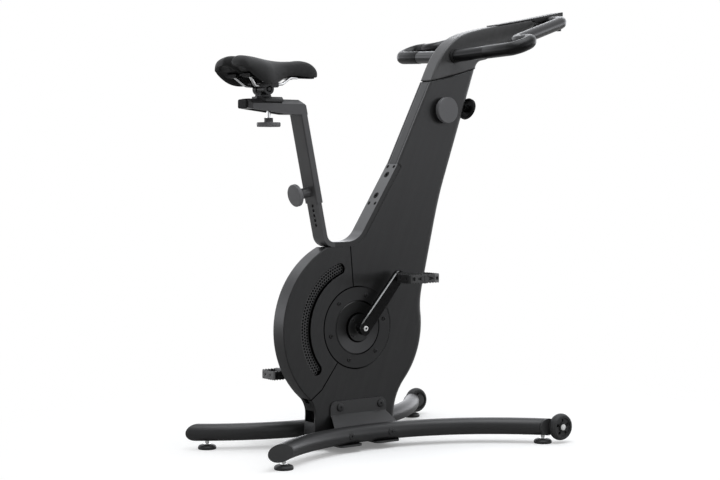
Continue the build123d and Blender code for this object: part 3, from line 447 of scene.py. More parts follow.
# Which finish each CAD node shows
finishOf = {
    wood: ["column_core", "right_panel", "left_panel", "rear_cover", "head_block"],
    blackCoat: ["right_bracket", "left_bracket", "cross_plates"],
    seatCoat: ["seat_bar", "seat_carrier"],
    clampCoat: ["saddle_slider", "saddle_jaws", "tablet_plate"],
    wheelPlate: ["wheel_plates"],
    greyTube: ["right_base_tube", "left_base_tube"],
    barCoat: ["handlebar"],
    glossCoat: ["right_crank", "left_crank"],
    lidCoat: ["right_access_cover", "left_access_cover", "port_plate"],
    knobPlastic: ["resistance_knob", "index_pin"],
    clampKnob: ["saddle_clamp_knob"],
    footPlastic: ["right_rear_foot", "left_rear_foot", "right_front_foot", "left_front_foot"],
    capPlastic: ["tube_end_caps"],
    pedalBlack: ["right_pedal"],
    pedalGrey: ["left_pedal"],
    gripRubber: ["grips"],
    blackRubber: ["bar_collars", "brake_cable", "primary_belt", "secondary_belt"],
    shadeBlack: ["saddle_shell", "head_clamp_knob", "seat_bar_screws"],
    wheelRubber: ["right_wheel", "left_wheel"],
    meshCoat: ["vent_meshes"],
    paleSteel: ["crank_bolts"],
    brightSteel: ["pedal_spindles", "crank_shaft", "brake_magnets"],
    chrome: ["saddle_rails"],
    screwBlack: ["cover_screws", "base_bolts"],
    darkSteel: ["crank_bearings", "drive_posts", "tube_spacers", "flywheel_bearings", "magnet_carriage",
                "head_tongue"],
    castIron: ["flywheel"],
    alloy: ["crank_pulley", "jack_pulley"],
    leather: ["saddle_cushion"],
}
for finish, names in finishOf.items():
    for name in names:
        nodes[name].data.materials.clear()
        nodes[name].data.materials.append(finish)
print("finishes on nodes:", sum(len(names) for names in finishOf.values()))


# Surfaces: n by m grids of points, joined into one mesh
def quads(points, aroundU=False, aroundV=False):
    # Joins each point of a grid, or of a stack of grids, to its neighbours, and the last row or column to
    # the first where the grid closes
    stack = points.reshape(-1, *points.shape[-3:])
    index = np.arange(stack[..., 0].size).reshape(stack.shape[:3])
    index = np.concatenate([index, index[:, :1]], 1) if aroundU else index
    index = np.concatenate([index, index[:, :, :1]], 2) if aroundV else index
    faces = np.stack([index[:, :-1, :-1], index[:, :-1, 1:], index[:, 1:, 1:], index[:, 1:, :-1]], -1)
    return points.reshape(-1, 3), faces.reshape(-1, 4)


def linked(name, data):
    made = bpy.data.objects.new(name, data)
    bpy.context.scene.collection.objects.link(made)
    return made


weld = {"doubles": 1e-6, "slivers": 1e-7}


def piece(name, surfaces, finish, body, stands=(), smooth=35):
    # One object from several surfaces: doubles merged, faces turned outwards, edges past smooth kept sharp
    points, faces, count = [], [], 0
    for somePoints, someFaces in surfaces:
        points.append(somePoints)
        faces.append(someFaces + count)
        count += len(somePoints)
    mesh = bpy.data.meshes.new(name)
    mesh.from_pydata(np.vstack(points).tolist(), [], np.vstack(faces).tolist())
    shape = bmesh.new()
    shape.from_mesh(mesh)
    bmesh.ops.remove_doubles(shape, verts=shape.verts, dist=weld["doubles"])
    bmesh.ops.dissolve_degenerate(shape, edges=shape.edges, dist=weld["slivers"])
    bmesh.ops.recalc_face_normals(shape, faces=shape.faces)
    shape.to_mesh(mesh)
    shape.free()
    mesh.materials.append(finish)
    mesh.shade_smooth()
    mesh.set_sharp_from_angle(angle=math.radians(smooth))
    made = linked(name, mesh)
    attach(made, body)
    if stands:
        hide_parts(*stands)
    return made


def fromDrawing(grid):
    # Millimetres drawn from the floor under the axle become metres in the frame
    return grid * mm + (axle.x, 0, 0)


def bothSides(grid):
    # A stack of the grid and its mirror image
    return np.stack([grid, grid * (1, -1, 1)])


def alongCurve(at, xs, ys):
    # Cubic through the points, each slope taken from its neighbours
    xs, ys = np.asarray(xs, float), np.asarray(ys, float)
    slopes = np.gradient(ys, xs)
    k = np.clip(np.searchsorted(xs, at) - 1, 0, len(xs) - 2)
    span = xs[k + 1] - xs[k]
    t = np.clip((at - xs[k]) / span, 0, 1)
    start = (1 + 2 * t) * (1 - t) ** 2 * ys[k] + t * (1 - t) ** 2 * span * slopes[k]
    return start + t * t * (3 - 2 * t) * ys[k + 1] + t * t * (t - 1) * span * slopes[k + 1]


def ramp(value, start, over):
    # 0 at start, 1 at start + over, and level on both sides
    return np.clip((value - start) / over, 0, 1)


# Saddle pad: a closed skin over stations from tail to nose, with two lobes and a notch at the tail
pad = {
    "x": [-377, -368, -356, -341, -325, -308, -290, -277, -250, -225, -197, -161, -143, -132, -123, -116.5,
          -112.5, -111],
    "half": [70, 76, 80.5, 82, 81.5, 78, 70, 62, 46, 33.5, 25.5, 21.5, 20, 17.5, 14, 10, 5, 2],
    "low": [962, 955, 945, 934, 925, 919.5, 918.5, 920.5, 930.5, 940, 945, 943.5, 942.5, 942.5, 943.5,
            945.5, 949, 951],
    "top": [988.5, 989.5, 989.5, 989, 987.5, 985, 982.5, 981, 979.5, 979.7, 981, 983, 980, 975.5, 969.5,
            963, 957, 953],
    "across": [0, 0.30, 0.57, 0.77, 0.90, 0.97, 1.0, 0.985, 0.94],  # shares of the half width, outwards
    "height": [1, 0.985, 0.935, 0.84, 0.70, 0.53, 0.33, 0.14, 0.0],  # shares of the height, downwards
    "nose": -111, "tail": -376, "sideTail": 13, "sidePower": 6, "lobes": 80, "notch": 54, "notchHalf": 10,
    "rollRow": 0.72, "rollRun": 0.91, "rollPower": 0.7,  # the tail rolls under past these shares
    "lip": 3.0, "lipShare": 0.4, "recess": 945.6, "shellTop": 946, "shellGap": 2, "tailRecess": 962,
    "tailFrom": 335, "tailOver": 30, "hollow": (0.55, -0.4), "hang": (0.78, 0.16), "hangPower": 1.5,
    "thin": 0.05, "crownDip": 2.5, "dipHalf": 9, "dipFrom": 180, "dipOver": 60,
    "swell": 3, "stiffness": 30, "cap": 2.5 * mm, "still": 1e-9, "frames": 16,
}


def padSkin(look, rows=110, columns=72):
    # Upper skin: rows run from the nose to the lobed tail, columns from one lower edge over the crown to
    # the other. Lower skin: the same rows, up inside the edge to a flat recess over the shell.
    v = np.linspace(-1, 1, 2 * columns + 1)[None, :]
    knots = np.arange(len(look["across"]))
    across = np.sign(v) * alongCurve(np.abs(v) * knots[-1], knots, look["across"])
    height = alongCurve(np.abs(v) * knots[-1], knots, look["height"])
    turn, straight = np.linspace(0, 1, rows)[:, None], look["rollRun"]
    roll = ramp(turn, look["rollRow"], 1 - look["rollRow"]) * math.pi / 2
    rolled = straight + (1 - straight) * np.sin(roll)
    run = np.where(turn < look["rollRow"], turn / look["rollRow"] * straight, rolled)
    fall = np.cos(roll) ** look["rollPower"]
    notch = look["notch"] * np.exp(-((across * look["lobes"] / look["notchHalf"]) ** 2))
    tail = look["tail"] + look["sideTail"] * np.abs(across) ** look["sidePower"] + notch
    x = look["nose"] + (tail - look["nose"]) * run
    half, low, top = (alongCurve(x, look["x"], look[key]) for key in ("half", "low", "top"))
    recess = np.maximum(look["recess"], np.minimum(low, look["shellTop"]) + look["shellGap"])
    recess = recess + ramp(-x, look["tailFrom"], look["tailOver"]) * (look["tailRecess"] - look["recess"])
    edge = low + (np.maximum(recess, low) - low) * ramp(np.abs(across), *look["hollow"])
    dip = look["crownDip"] * np.exp(-((across * half / look["dipHalf"]) ** 2))
    dip = dip * ramp(-x, look["dipFrom"], look["dipOver"])
    skinTop = edge + look["lip"] * (1 - fall) + (top - edge - dip) * height * fall
    inward = np.sign(v) * np.abs(v) ** 0.5 * look["across"][-1]
    hang = ramp(np.abs(inward), *look["hang"]) ** look["hangPower"]
    under = edge + (recess - edge) * (1 - hang) * np.where(fall > look["thin"], 1, fall / look["thin"])
    under = np.minimum(under, skinTop - look["lipShare"] * look["lip"])
    upper, lower = np.stack([x, across * half, skinTop], -1), np.stack([x, inward * half, under], -1)
    ring = np.concatenate([upper, lower[:, -2:0:-1]], 1)
    ring[0] = ring[0].mean(0)
    return ring


padRing = fromDrawing(padSkin(pad))
seam = (padRing.shape[1] + 2) // 2
tailTop = padRing[-1, :seam]
tailUnder = np.vstack([padRing[-1, :1], padRing[-1, seam - 1:][::-1]])[:seam]
padSurfaces = [quads(padRing, aroundV=True), quads(np.stack([tailTop, tailUnder]))]
saddle = piece("saddle_pad", padSurfaces, leather, "saddle", ["saddle_cushion"], smooth=180)


def puffed(cushion, look):
    # Cloth with air pressure and no gravity, its movement capped, as foam pushes its cover out
    before = np.zeros(len(cushion.data.vertices) * 3, np.float32)
    cushion.data.vertices.foreach_get("co", before)
    cloth = cushion.modifiers.new("puff", "CLOTH")
    cloth.settings.use_pressure = True
    cloth.settings.uniform_pressure_force = look["swell"]
    cloth.settings.effector_weights.gravity = 0
    cloth.settings.tension_stiffness = cloth.settings.compression_stiffness = look["stiffness"]
    cloth.point_cache.frame_end = look["frames"]
    for step in range(1, look["frames"] + 1):
        bpy.context.scene.frame_set(step)
    swollen = cushion.evaluated_get(bpy.context.evaluated_depsgraph_get()).to_mesh()
    after = np.zeros_like(before)
    swollen.vertices.foreach_get("co", after)
    cushion.modifiers.remove(cloth)
    bpy.context.scene.frame_set(1)
    move = (after - before).reshape(-1, 3)
    length = np.linalg.norm(move, axis=1, keepdims=True)
    move *= np.minimum(1, look["cap"] / np.maximum(length, look["still"]))
    cushion.data.vertices.foreach_set("co", (before.reshape(-1, 3) + move).ravel())
    cushion.data.update()
    mean, most = (round(float(value) / mm, 2) for value in (length.mean(), length.max()))
    print("saddle puffed, mean move mm", mean, "largest", most)


puffed(saddle, pad)
print("saddle pad:", len(saddle.data.polygons), "faces")

# Vent mesh: rows of cells on arcs about the axle, each a border round a hole, front and back
vent = {"inner": 146.0, "step": 7.0, "rows": 6, "from": 106.0, "to": 222.0, "pitch": 8.0, "hole": 2.9,
        "front": 16.0, "back": 14.9}


def ventCells(look, points=16):
    # Cell (i, j) is centred at radius inner + i * step and angle from + j * pitch, and half a pitch on in
    # every second row. Its border in direction phi is the rectangle's edge, and its hole is a circle.
    sweep = math.radians(look["to"] - look["from"])
    count = int(sweep * (look["inner"] + look["step"] * look["rows"] / 2) / look["pitch"])
    pitch = sweep / count
    row, column = np.meshgrid(np.arange(look["rows"]), np.arange(count), indexing="ij")
    radius = (look["inner"] + look["step"] * row).reshape(-1, 1, 1)
    turn = (math.radians(look["from"]) + pitch * (column + 0.5 * (row % 2))).reshape(-1, 1, 1)
    phi = (np.arange(points) * 2 * math.pi / points)[None, :, None]
    ray = np.stack([np.cos(phi), np.sin(phi)])
    border = ray / np.abs(ray).max(0) / 2
    edge, hole = border[0] * look["step"], look["hole"] * ray[0]
    rise = np.concatenate([edge, hole, hole, edge], -1)
    edge, hole = border[1] * pitch + 0 * radius, look["hole"] * ray[1] / radius
    swing = np.concatenate([edge, hole, hole, edge], -1)
    depth = np.array([look["front"], look["front"], look["back"], look["back"]])
    far, angle = radius + rise, turn + swing
    return np.stack([far * np.cos(angle), np.broadcast_to(depth, angle.shape), far * np.sin(angle)], -1)


cells = ventCells(vent) + (0, 0, axle.z / mm)
sheets = quads(fromDrawing(bothSides(cells)), aroundU=True)
piece("vent_sheet", [sheets], meshCoat, "frame", ["vent_meshes"], smooth=30)

# Cover screws and base bolts: round heads with hexagon sockets. A ring of screws has its radius, first
# angle and count, the screws' seat, and the radius and rise of a head. The tube's bolts follow its bow.
screws = {"lid": (86.0, 12, 6, 24.0, 5.6, 2.6), "hub": (28.0, 45, 4, 31.0, 3.8, 2.2)}
bolts = {"legX": (-57.6, 71.4), "legZ": 105.7, "legSeat": 28.0, "legHead": (10.5, 3.6),
         "tubeX": (-73.7, 52.8), "tubeZ": 42.5, "tubeSeat": 94.5, "tubeHead": (9.6, 3.0),
         "tubeArc": 558.0, "arcX": -12.0}
# Outline of a head: share of the radius, share of the rise, and 1 where it is a hexagon
screwShape = np.array([
    [1, 0, 0], [1, 0.5, 0], [0.94, 0.8, 0], [0.8, 1, 0], [0.58, 1, 0],
    [0.5, 1, 1], [0.5, 0.25, 1], [0, 0.25, 0]])
boltShape = np.array([
    [1, 0, 0], [1, 0.6, 0], [0.94, 0.9, 0], [0.86, 1, 0], [0.36, 1, 0],
    [0.3, 1, 1], [0.3, 0.3, 1], [0, 0.3, 0]])


def screwHeads(shape, places, radius, rise, points=24):
    # Each head is its outline turned about the Y axis, from its seat outwards
    x, seat, z = (np.array(places, float)[:, k, None, None] for k in range(3))
    phi = (np.arange(points) * 2 * math.pi / points)[None, :, None]
    hexagon = math.cos(math.pi / 6) / np.cos(phi % (math.pi / 3) - math.pi / 6)
    reach = radius * shape[:, 0] * (1 + shape[:, 2] * (hexagon - 1))
    out = seat + rise * shape[:, 1] + 0 * phi
    return np.stack([x + reach * np.cos(phi), out, z + reach * np.sin(phi)], -1)


def ringPlaces(ring, start, count, seat):
    # Points spaced evenly on a circle about the axle
    turn = np.radians(start + 360 / count * np.arange(count))
    return np.stack([ring * np.cos(turn), 0 * turn + seat, ring * np.sin(turn) + axle.z / mm], -1)


heads = [screwHeads(screwShape, ringPlaces(*spec[:4]), *spec[4:]) for spec in screws.values()]
heads = quads(fromDrawing(bothSides(np.concatenate(heads))), aroundU=True)
piece("cover_screw_heads", [heads], screwBlack, "frame", ["cover_screws"], smooth=30)
onLeg = [(x, bolts["legSeat"], bolts["legZ"]) for x in bolts["legX"]]
bow = [bolts["tubeArc"] - math.sqrt(bolts["tubeArc"]**2 - (x - bolts["arcX"])**2) for x in bolts["tubeX"]]
onTube = [(x, bolts["tubeSeat"] + out, bolts["tubeZ"]) for x, out in zip(bolts["tubeX"], bow)]
heads = [screwHeads(boltShape, onLeg, *bolts["legHead"]), screwHeads(boltShape, onTube, *bolts["tubeHead"])]
heads = quads(fromDrawing(bothSides(np.concatenate(heads))), aroundU=True)
piece("base_bolt_heads", [heads], clampCoat, "frame", ["base_bolts"], smooth=30)
print("vent sheets, cover screws and base bolts set:", len(cells) * 2, "cells")

# Cranks: an arm along the line from the axle to the pedal, and a boss behind it. Reach is its outer face.
crank = {
    "length": 170.0, "angle": 49.2, "axleEnd": 18.0, "pedalEnd": 15.5, "thick": 15.0, "bevel": 2.4,
    "least": 0.1, "boss": 14.0, "bossFrom": 38.0, "bossInto": 10.0, "bossEdge": 1.0, "bore": 8.2,
    "reach": {"right": 60.0, "left": 80.0}, "facing": {"right": (1, -1, 1), "left": (-1, 1, -1)},
}


def crankArm(look, reach, rows=72):
    # Row u runs along the arm. Its half width is the hull of two circles, and its section is a rectangle
    # with bevelled corners.
    u = np.linspace(0, math.pi, rows)[:, None]
    run = (1 - np.cos(u)) / 2
    along = -look["axleEnd"] + run * (look["length"] + look["axleEnd"] + look["pedalEnd"])
    share = np.clip(along / look["length"], 0, 1)
    width = look["axleEnd"] + (look["pedalEnd"] - look["axleEnd"]) * share
    over = along - np.clip(along, 0, look["length"])
    width = np.sqrt(np.maximum(width**2 - over**2, look["least"] ** 2))
    bevel = np.minimum(look["bevel"], width)
    inFace = np.array([0, 0, 1, 1, 0, 0, 1, 1])
    across = np.array([1, 1, 1, -1, -1, -1, -1, 1]) * (width - bevel * inFace)
    depth = np.array([-1, 1, 1, 1, 1, -1, -1, -1]) * (look["thick"] / 2 - bevel * (1 - inFace))
    cosine, sine = math.cos(math.radians(look["angle"])), math.sin(math.radians(look["angle"]))
    x, z = along * cosine - across * sine, along * sine + across * cosine
    return np.stack([x, reach - look["thick"] / 2 + depth + 0 * x, z], -1)


def turnedAbout(profile, points=40):
    # Profile points (radius, place along Y) turned about the Y axis
    phi = np.linspace(0, 2 * math.pi, points, endpoint=False)[None, :]
    radius, along = (np.array(profile, float)[:, k, None] for k in (0, 1))
    return np.stack([radius * np.cos(phi), along + 0 * phi, radius * np.sin(phi)], -1)


def onCrank(grid, side):
    # Grids are drawn from the axle, with y outwards and the arm up in front, and the left arm is opposite
    return (grid * np.array(crank["facing"][side])) * mm + (axle.x, 0, axle.z)


for side, reach in crank["reach"].items():
    bossFrom, bossTo = crank["bossFrom"], reach - crank["bossInto"]
    boss = [(crank["bore"], bossFrom), (crank["boss"] - crank["bossEdge"], bossFrom),
            (crank["boss"], bossFrom + crank["bossEdge"]), (crank["boss"], bossTo), (crank["bore"], bossTo)]
    grids = [crankArm(crank, reach), turnedAbout(boss)]
    surfaces = [quads(onCrank(grid, side), aroundV=True) for grid in grids]
    piece(side + "_crank_arm", surfaces, glossCoat, "crank", [side + "_crank"], smooth=40)
print("cranks set")

# Pedals: a serrated cage round a barrel and a cross bar, with sunk marks in its walls
cage = {
    "half": (48.0, 30.0), "corner": 7.0, "wall": 4.5, "height": 11.0, "innerHeight": 0.93, "rimInset": 0.6,
    "rimPower": 12, "teeth": 34, "tooth": 0.9, "sunk": 3.8, "markHeight": 0.9, "flat": 0.99, "dot": 3.1,
    "dotAt": 11.5, "wedgeAt": 14.0, "wedgeHalf": 11.0, "wedgeTip": 1.2, "wedgeSlope": 0.28,
    "windowAt": 38.0, "windowHalf": 4.5, "windowHeight": 4.2, "inner": 8.0, "middle": 66.0,
    "bar": (46.0, 9.0, 6.5),
    "barrel": 12.5, "barrelEdge": 1.0, "barrelFrom": 3.0, "barrelTo": 29.0, "barrelTip": 0.1, "bore": 6.1,
}


def pedalCage(look, rows=320, columns=25):
    # Path s goes round a rectangle with round corners, from the centres of its corners and the way it
    # faces. The wall's section goes up the outer face and down the inner one, and marks push the outer
    # face in.
    (a, b), r = look["half"], look["corner"]
    quarter = r * math.pi / 2
    knots = np.cumsum([0] + [2 * (b - r), quarter, 2 * (a - r), quarter] * 2)
    s = np.linspace(0, knots[-1], rows, endpoint=False)[:, None]
    cornerX = np.interp(s, knots, (a - r) * np.array([1, 1, 1, -1, -1, -1, -1, 1, 1]))
    cornerY = np.interp(s, knots, (b - r) * np.array([-1, 1, 1, 1, 1, -1, -1, -1, -1]))
    facing = np.interp(s, knots, math.pi / 2 * np.array([0, 0, 1, 1, 2, 2, 3, 3, 4]))
    x, y = cornerX + r * np.cos(facing), cornerY + r * np.sin(facing)
    rise = np.linspace(-1, 1, columns)
    up = look["height"] * np.concatenate([rise, [look["innerHeight"], -look["innerHeight"]]])[None, :]
    rim = look["rimInset"] * np.abs(rise) ** look["rimPower"]
    inset = np.concatenate([rim, [look["wall"], look["wall"]]])[None, :]
    outer = np.concatenate([np.abs(rise) < look["markHeight"], [False, False]])[None, :]
    plate, flank = np.abs(np.cos(facing)) > look["flat"], np.abs(np.sin(facing)) > look["flat"]
    dots = plate & (np.hypot(np.abs(y) - look["dotAt"], up) < look["dot"])
    wedgeHeight = look["wedgeTip"] + look["wedgeSlope"] * (look["wedgeAt"] + look["wedgeHalf"] - np.abs(x))
    wedges = flank & (np.abs(np.abs(x) - look["wedgeAt"]) < look["wedgeHalf"]) & (np.abs(up) < wedgeHeight)
    windows = flank & (np.abs(np.abs(x) - look["windowAt"]) < look["windowHalf"])
    windows = windows & (np.abs(up) < look["windowHeight"])
    push = inset + look["sunk"] * ((dots | wedges | windows) & outer)
    wave = np.sign(np.sin(2 * math.pi * look["teeth"] * s / knots[-1]))
    teeth = 1 + look["tooth"] / look["height"] * wave
    return np.stack([x - push * np.cos(facing), y - push * np.sin(facing), up * teeth], -1)


def roundBlock(half, square=0.22, rows=24, columns=48):
    # Superellipsoid: each coordinate is half * sign(c) * |c| ** square of the sphere's
    v = np.linspace(-math.pi / 2, math.pi / 2, rows)[:, None]
    u = np.linspace(0, 2 * math.pi, columns, endpoint=False)[None, :]
    ball = np.stack([np.cos(v) * np.cos(u), np.cos(v) * np.sin(u), np.sin(v) + 0 * u], -1)
    return np.array(half) * np.sign(ball) * np.abs(ball) ** square


crankTurn = math.radians(crank["angle"])
pedalAxis = np.array([math.cos(crankTurn), 0, math.sin(crankTurn)]) * crank["length"]
for side, reach in crank["reach"].items():
    start = reach + cage["inner"]
    mid = start + cage["middle"]
    barrelFrom, barrelTo = start - cage["barrelFrom"], mid + cage["barrelTo"]
    barrel = [(cage["bore"], barrelFrom), (cage["barrel"] - cage["barrelEdge"], barrelFrom),
              (cage["barrel"], barrelFrom + cage["barrelEdge"]), (cage["barrel"], barrelTo),
              (cage["barrelTip"], barrelTo)]
    walls, crossBar = (grid + (0, mid, 0) for grid in (pedalCage(cage), roundBlock(cage["bar"])))
    surfaces = [quads(onCrank(walls + pedalAxis, side), aroundU=True, aroundV=True)]
    grids = (crossBar, turnedAbout(barrel))
    surfaces += [quads(onCrank(grid + pedalAxis, side), aroundV=True) for grid in grids]
    finish = pedalBlack if side == "right" else pedalGrey
    piece(side + "_pedal_body", surfaces, finish, side + "_pedal", [side + "_pedal"], smooth=35)
print("pedals set")

# Beam plug: the black stopper in the rear end of the seat beam
plug = {"at": (-331.5, 0.0, 873.0), "half": (2.6, 20.0, 11.5), "square": 0.35}
stopper = fromDrawing(roundBlock(plug["half"], plug["square"]) + plug["at"])
piece("beam_plug", [quads(stopper, aroundV=True)], shadeBlack, "seat", smooth=50)

# Bar stop: a small block under the front of the handlebar
stop = {"at": (668.0, -60.0, 1099.5), "half": (6.0, 7.0, 5.5), "square": 0.3}
block = fromDrawing(roundBlock(stop["half"], stop["square"]) + stop["at"])
piece("bar_stop", [quads(block, aroundV=True)], shadeBlack, "head", smooth=50)
print("beam plug and bar stop set")

# Handlebar: a tube round a closed loop, whose rear and front parts rise at their own slopes, and two grips
bar = {
    "radius": 16.5, "rear": (322.0, 1013.5), "rearRise": 21.5, "lean": 25 / 220, "leanFrom": 24.0,
    "turnX": 347.0,
    "reach": 244.0, "cornerX": 407.0, "frontRise": 15.5, "inner": 166.0, "frontX": 668.0, "front": 84.0,
    "bends": (31.0, 29.0, 36.0, 45.0), "middleBend": 60.0, "grip": 17.4, "gripFrom": 138.0, "gripTo": 205.0,
    "gripEdge": 0.8, "gripRound": 0.4, "gripSunk": 0.2,
}


def barCorners(look):
    # Corners of the loop's left half, from the middle of the rear part to the middle of the front part
    rearSlope, frontSlope = (math.tan(math.radians(look[key])) for key in ("rearRise", "frontRise"))
    rearX, rearZ = look["rear"]
    x = np.array([rearX - look["leanFrom"] * look["lean"], look["turnX"], look["cornerX"], look["cornerX"],
                  look["frontX"], look["frontX"]])
    y = np.array([0.0, look["reach"], look["reach"], look["inner"], look["front"], 0.0])
    bend = np.minimum(x, look["cornerX"])
    z = rearZ + (bend - rearX) * rearSlope + (x - bend) * frontSlope
    return np.stack([x, y, z], -1)


def unit(vectors):
    return vectors / np.linalg.norm(vectors, axis=-1, keepdims=True)


def roundedPath(corners, bends, points=20):
    # Each corner becomes an arc that leaves its two runs at bend * tan(turn / 2) from the corner
    before, after = unit(corners[:-2] - corners[1:-1]), unit(corners[2:] - corners[1:-1])
    turn = math.pi - np.arccos((before * after).sum(1))
    bends = np.asarray(bends, float)
    inward, forward = unit(before + after)[:, None], unit(after - before)[:, None]
    centre = corners[1:-1, None] + inward * (bends / np.cos(turn / 2))[:, None, None]
    share = np.linspace(-0.5, 0.5, points)[None, :, None] * turn[:, None, None]
    arcs = centre + bends[:, None, None] * (np.sin(share) * forward - np.cos(share) * inward)
    ways = np.cos(share) * forward + np.sin(share) * inward
    return arcs.reshape(-1, 3), ways.reshape(-1, 3)


def tubeAlong(path, ways, radius, points=40):
    # Ring of the given radius about each point, across the way that the path goes there
    side = unit(np.cross(ways, (0, 0, 1)))
    rise = np.cross(side, ways)
    phi = np.linspace(0, 2 * math.pi, points, endpoint=False)[None, :, None]
    reach = np.broadcast_to(radius, len(path))[:, None, None]
    return path[:, None] + reach * (np.cos(phi) * side[:, None] + np.sin(phi) * rise[:, None])


left = barCorners(bar)
right = left[::-1] * (1, -1, 1)
bends = (bar["middleBend"], *bar["bends"])
loop = np.vstack([right[-2:-1], left[:-1], right[1:-1], left[:1]])
loopPath, loopWays = roundedPath(loop, (*bends, *bends[:0:-1]))
loopTube = quads(fromDrawing(tubeAlong(loopPath, loopWays, bar["radius"])), aroundU=True, aroundV=True)
piece("handlebar_tube", [loopTube], barCoat, "head", ["handlebar"], smooth=80)

gripStart = left[0] + (left[1] - left[0]) * bar["gripFrom"] / bar["reach"]
gripEnd = left[2] + (left[3] - left[2]) * (bar["reach"] - bar["gripTo"]) / (bar["reach"] - bar["inner"])
gripPath, gripWays = roundedPath(np.array([gripStart, left[1], left[2], gripEnd]), bar["bends"][:2])
startWay, endWay = unit(left[1] - left[0]), unit(left[3] - left[2])
gripEnds = ((0, gripStart, startWay, (0, 0, 1)), (len(gripPath), gripEnd, endWay, (-1, 0, 0)))
for row, at, way, steps in gripEnds:
    added = at + bar["gripEdge"] * np.array(steps)[:, None] * way
    gripPath = np.insert(gripPath, [row] * len(steps), added, 0)
    gripWays = np.insert(gripWays, [row] * len(steps), way, 0)
gripRadius = np.full(len(gripPath), bar["grip"])
gripRadius[[0, -1]] = bar["radius"] - bar["gripSunk"]
gripRadius[[1, -2]] = bar["grip"] - bar["gripRound"]
sleeves = fromDrawing(bothSides(tubeAlong(gripPath, gripWays, gripRadius)))
piece("grip_sleeves", [quads(sleeves, aroundV=True)], gripRubber, "head", ["grips"], smooth=50)

# Plate lips: the tablet plate's side edges, folded down in front of the head
lip = {"spine": [(600.0, 1125.2), (614.0, 1127.8), (718.0, 1149.4)], "drop": (3.0, 12.0, 9.0),
       "outside": 24.0, "inside": 22.0, "into": 0.2}


def lipEdge(look):
    # A four-cornered section at each point of the spine, closed to a point at both ends
    x, z = (np.array(look["spine"])[:, k, None] for k in (0, 1))
    upper, lower = z + look["into"], z - np.array(look["drop"])[:, None]
    y = np.array([look["outside"], look["inside"], look["inside"], look["outside"]]) + 0 * x
    edge = np.stack([x + 0 * y, y, np.concatenate([upper, upper, lower, lower], 1)], -1)
    first, last = (edge[k, None].mean(1, keepdims=True).repeat(4, 1) for k in (0, -1))
    return np.concatenate([first, edge, last])


lips = fromDrawing(bothSides(lipEdge(lip)))
piece("plate_lips", [quads(lips, aroundV=True)], clampCoat, "head", smooth=30)
print("handlebar, grips and plate lips set")

# Floor and backdrop. Seen and bounce are the distances over which the floor fades, for the camera and for
# other rays. Each span is the part of a direction over which one tone grows into the next.
studio = {
    "floor": 0.9, "half": 30.0, "seen": (0.25, 1.15), "bounce": (1.3, 3.6), "lift": 0.18, "liftGloss": 0.2,
    "mirror": 0.3, "mirrorBehind": 0.8, "gloss": 0.15, "glossBehind": 0.5, "floorSpan": (0.1, 1.0),
    "fill": 0.5, "front": 1.8, "back": 3.2, "backSpan": (0.2, 0.8), "camera": 0.55,
    "cameraSpan": (-0.5, -0.95),
    "upper": 0.4, "upperSpan": (0.12, 0.35), "sky": (0.95, 0.96, 1.0), "behind": (0.6, 0.8, 0.0),
}
white = (1.0, 1.0, 1.0, 1.0)


def shown(paint, gloss=1.0):  # 1 for what the camera sees, also through glass, and gloss in a reflection
    return paint.any(paint.ray("Camera"), paint.ray("Transmission"), gloss * paint.ray("Glossy"))


# The floor is matt near the bike, where it holds the shadow, and fades to the white of the backdrop
paint = newPaint("studio_floor")
away = paint.node("ShaderNodeVectorMath", {"operation": "LENGTH"}, {0: paint.spot}, out="Value")
bounce = paint.within(away, *studio["bounce"])
fade = bounce + (paint.within(away, *studio["seen"]) - bounce) * paint.ray("Camera")
back = paint.within(paint.towards(paint.spot, studio["behind"]), *studio["floorSpan"])
mirrorTone = paint.blend(back, studio["mirror"], studio["mirrorBehind"])
mattTone = paint.blend(paint.ray("Glossy"), studio["floor"], mirrorTone)
matt = paint.node("ShaderNodeBsdfDiffuse", {}, {"Color": mattTone})
liftGlow = studio["lift"] * shown(paint, studio["liftGloss"])
lift = paint.node("ShaderNodeEmission", {}, {"Color": white, "Strength": liftGlow})
mirrorGlow = studio["gloss"] + (studio["glossBehind"] - studio["gloss"]) * back
glow = paint.node("ShaderNodeEmission", {}, {"Color": white, "Strength": shown(paint, mirrorGlow)})
lit = paint.node("ShaderNodeAddShader", {}, {0: matt, 1: lift})
faded = paint.node("ShaderNodeMixShader", {}, {0: fade, 1: lit, 2: glow})
paint.node("ShaderNodeOutputMaterial", {}, {"Surface": faded})
floorMesh = bpy.data.meshes.new("studio_floor")
corners = [(x * studio["half"], y * studio["half"], 0) for x, y in ((-1, -1), (1, -1), (1, 1), (-1, 1))]
floorMesh.from_pydata(corners, [], [(0, 1, 2, 3)])
floorMesh.materials.append(paint.owner)
floor = linked("studio_floor", floorMesh)

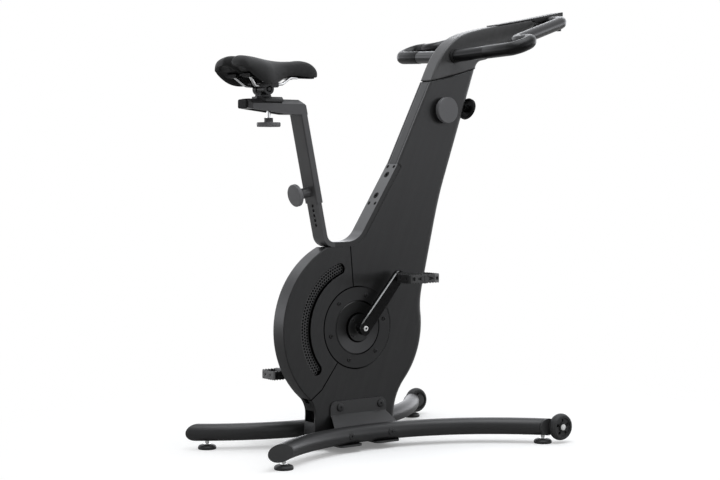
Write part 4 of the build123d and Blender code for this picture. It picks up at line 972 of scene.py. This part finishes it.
# The backdrop is white to the camera. In reflections it is brightest behind the bike, and dimmer above
# and on the camera's side.
world = bpy.data.worlds.new("studio")
bpy.context.scene.world = world
paint = Paint(world)
heading = paint.node("ShaderNodeTexCoord", out="Generated")
behind = paint.towards(heading, studio["behind"])
backdrop = studio["front"] + (studio["back"] - studio["front"]) * paint.within(behind, *studio["backSpan"])
backdrop = backdrop + (studio["camera"] - studio["front"]) * paint.within(behind, *studio["cameraSpan"])
height = paint.node("ShaderNodeSeparateXYZ", {}, {0: heading}, out="Z")
backdrop = backdrop * (1.0 - (1.0 - studio["upper"]) * paint.within(height, *studio["upperSpan"]))
mirrored = paint.ray("Glossy")
skyTone, skyGlow = paint.blend(mirrored, 1.0, studio["sky"]), 1.0 + (backdrop - 1.0) * mirrored
dim = paint.node("ShaderNodeBackground", {}, {"Color": white, "Strength": studio["fill"]})
bright = paint.node("ShaderNodeBackground", {}, {"Color": skyTone, "Strength": skyGlow})
mixed = paint.node("ShaderNodeMixShader", {}, {0: shown(paint), 1: dim, 2: bright})
paint.node("ShaderNodeOutputWorld", {}, {"Surface": mixed})

# Softboxes: one above, and three narrow ones that draw bright edges
lampTint = (0.95, 0.975, 1.0)
lamps = {
    "key_above": {"place": (0.1, -0.5, 3.3), "aim": (0.0, 0.0, 0.4), "size": (2.4, 2.4), "power": 65},
    "rim_behind": {"place": (-0.8, 3.1, 2.8), "aim": (0.0, 0.0, 0.5), "size": (1.2, 0.6), "power": 4},
    "crank_edge": {"place": (-1.42, -1.83, 3.17), "aim": (-0.1, 0.0, 0.45), "size": (0.55, 0.22),
                   "power": 5},
    "edge_behind": {"place": (2.84, 2.5, 2.86), "aim": (0.35, 0.0, 1.0), "size": (2.6, 0.3), "power": 11},
}
for name, lamp in lamps.items():
    light = bpy.data.lights.new(name, "AREA")
    light.shape = "RECTANGLE"
    light.size, light.size_y = lamp["size"]
    light.energy = lamp["power"]
    light.color = lampTint
    softbox = linked(name, light)
    softbox.location = lamp["place"]
    aim = Vector(lamp["aim"]) - Vector(lamp["place"])
    softbox.rotation_euler = aim.to_track_quat("-Z", "Y").to_euler()

view = {"place": (-2.6431, -3.3426, 0.7266), "azimuth": -36.818, "pitch": -2.694, "lens": 80.9,
        "sensor": 36.0, "far": 100.0}
lens = bpy.data.cameras.new("camera")
lens.lens = view["lens"]
lens.sensor_width = view["sensor"]
lens.clip_end = view["far"]
camera = linked("camera", lens)
camera.location = view["place"]
camera.rotation_euler = (math.radians(90 + view["pitch"]), 0, math.radians(view["azimuth"]))
bpy.context.scene.camera = camera
bpy.context.scene.view_settings.view_transform = "Standard"
print("studio set")
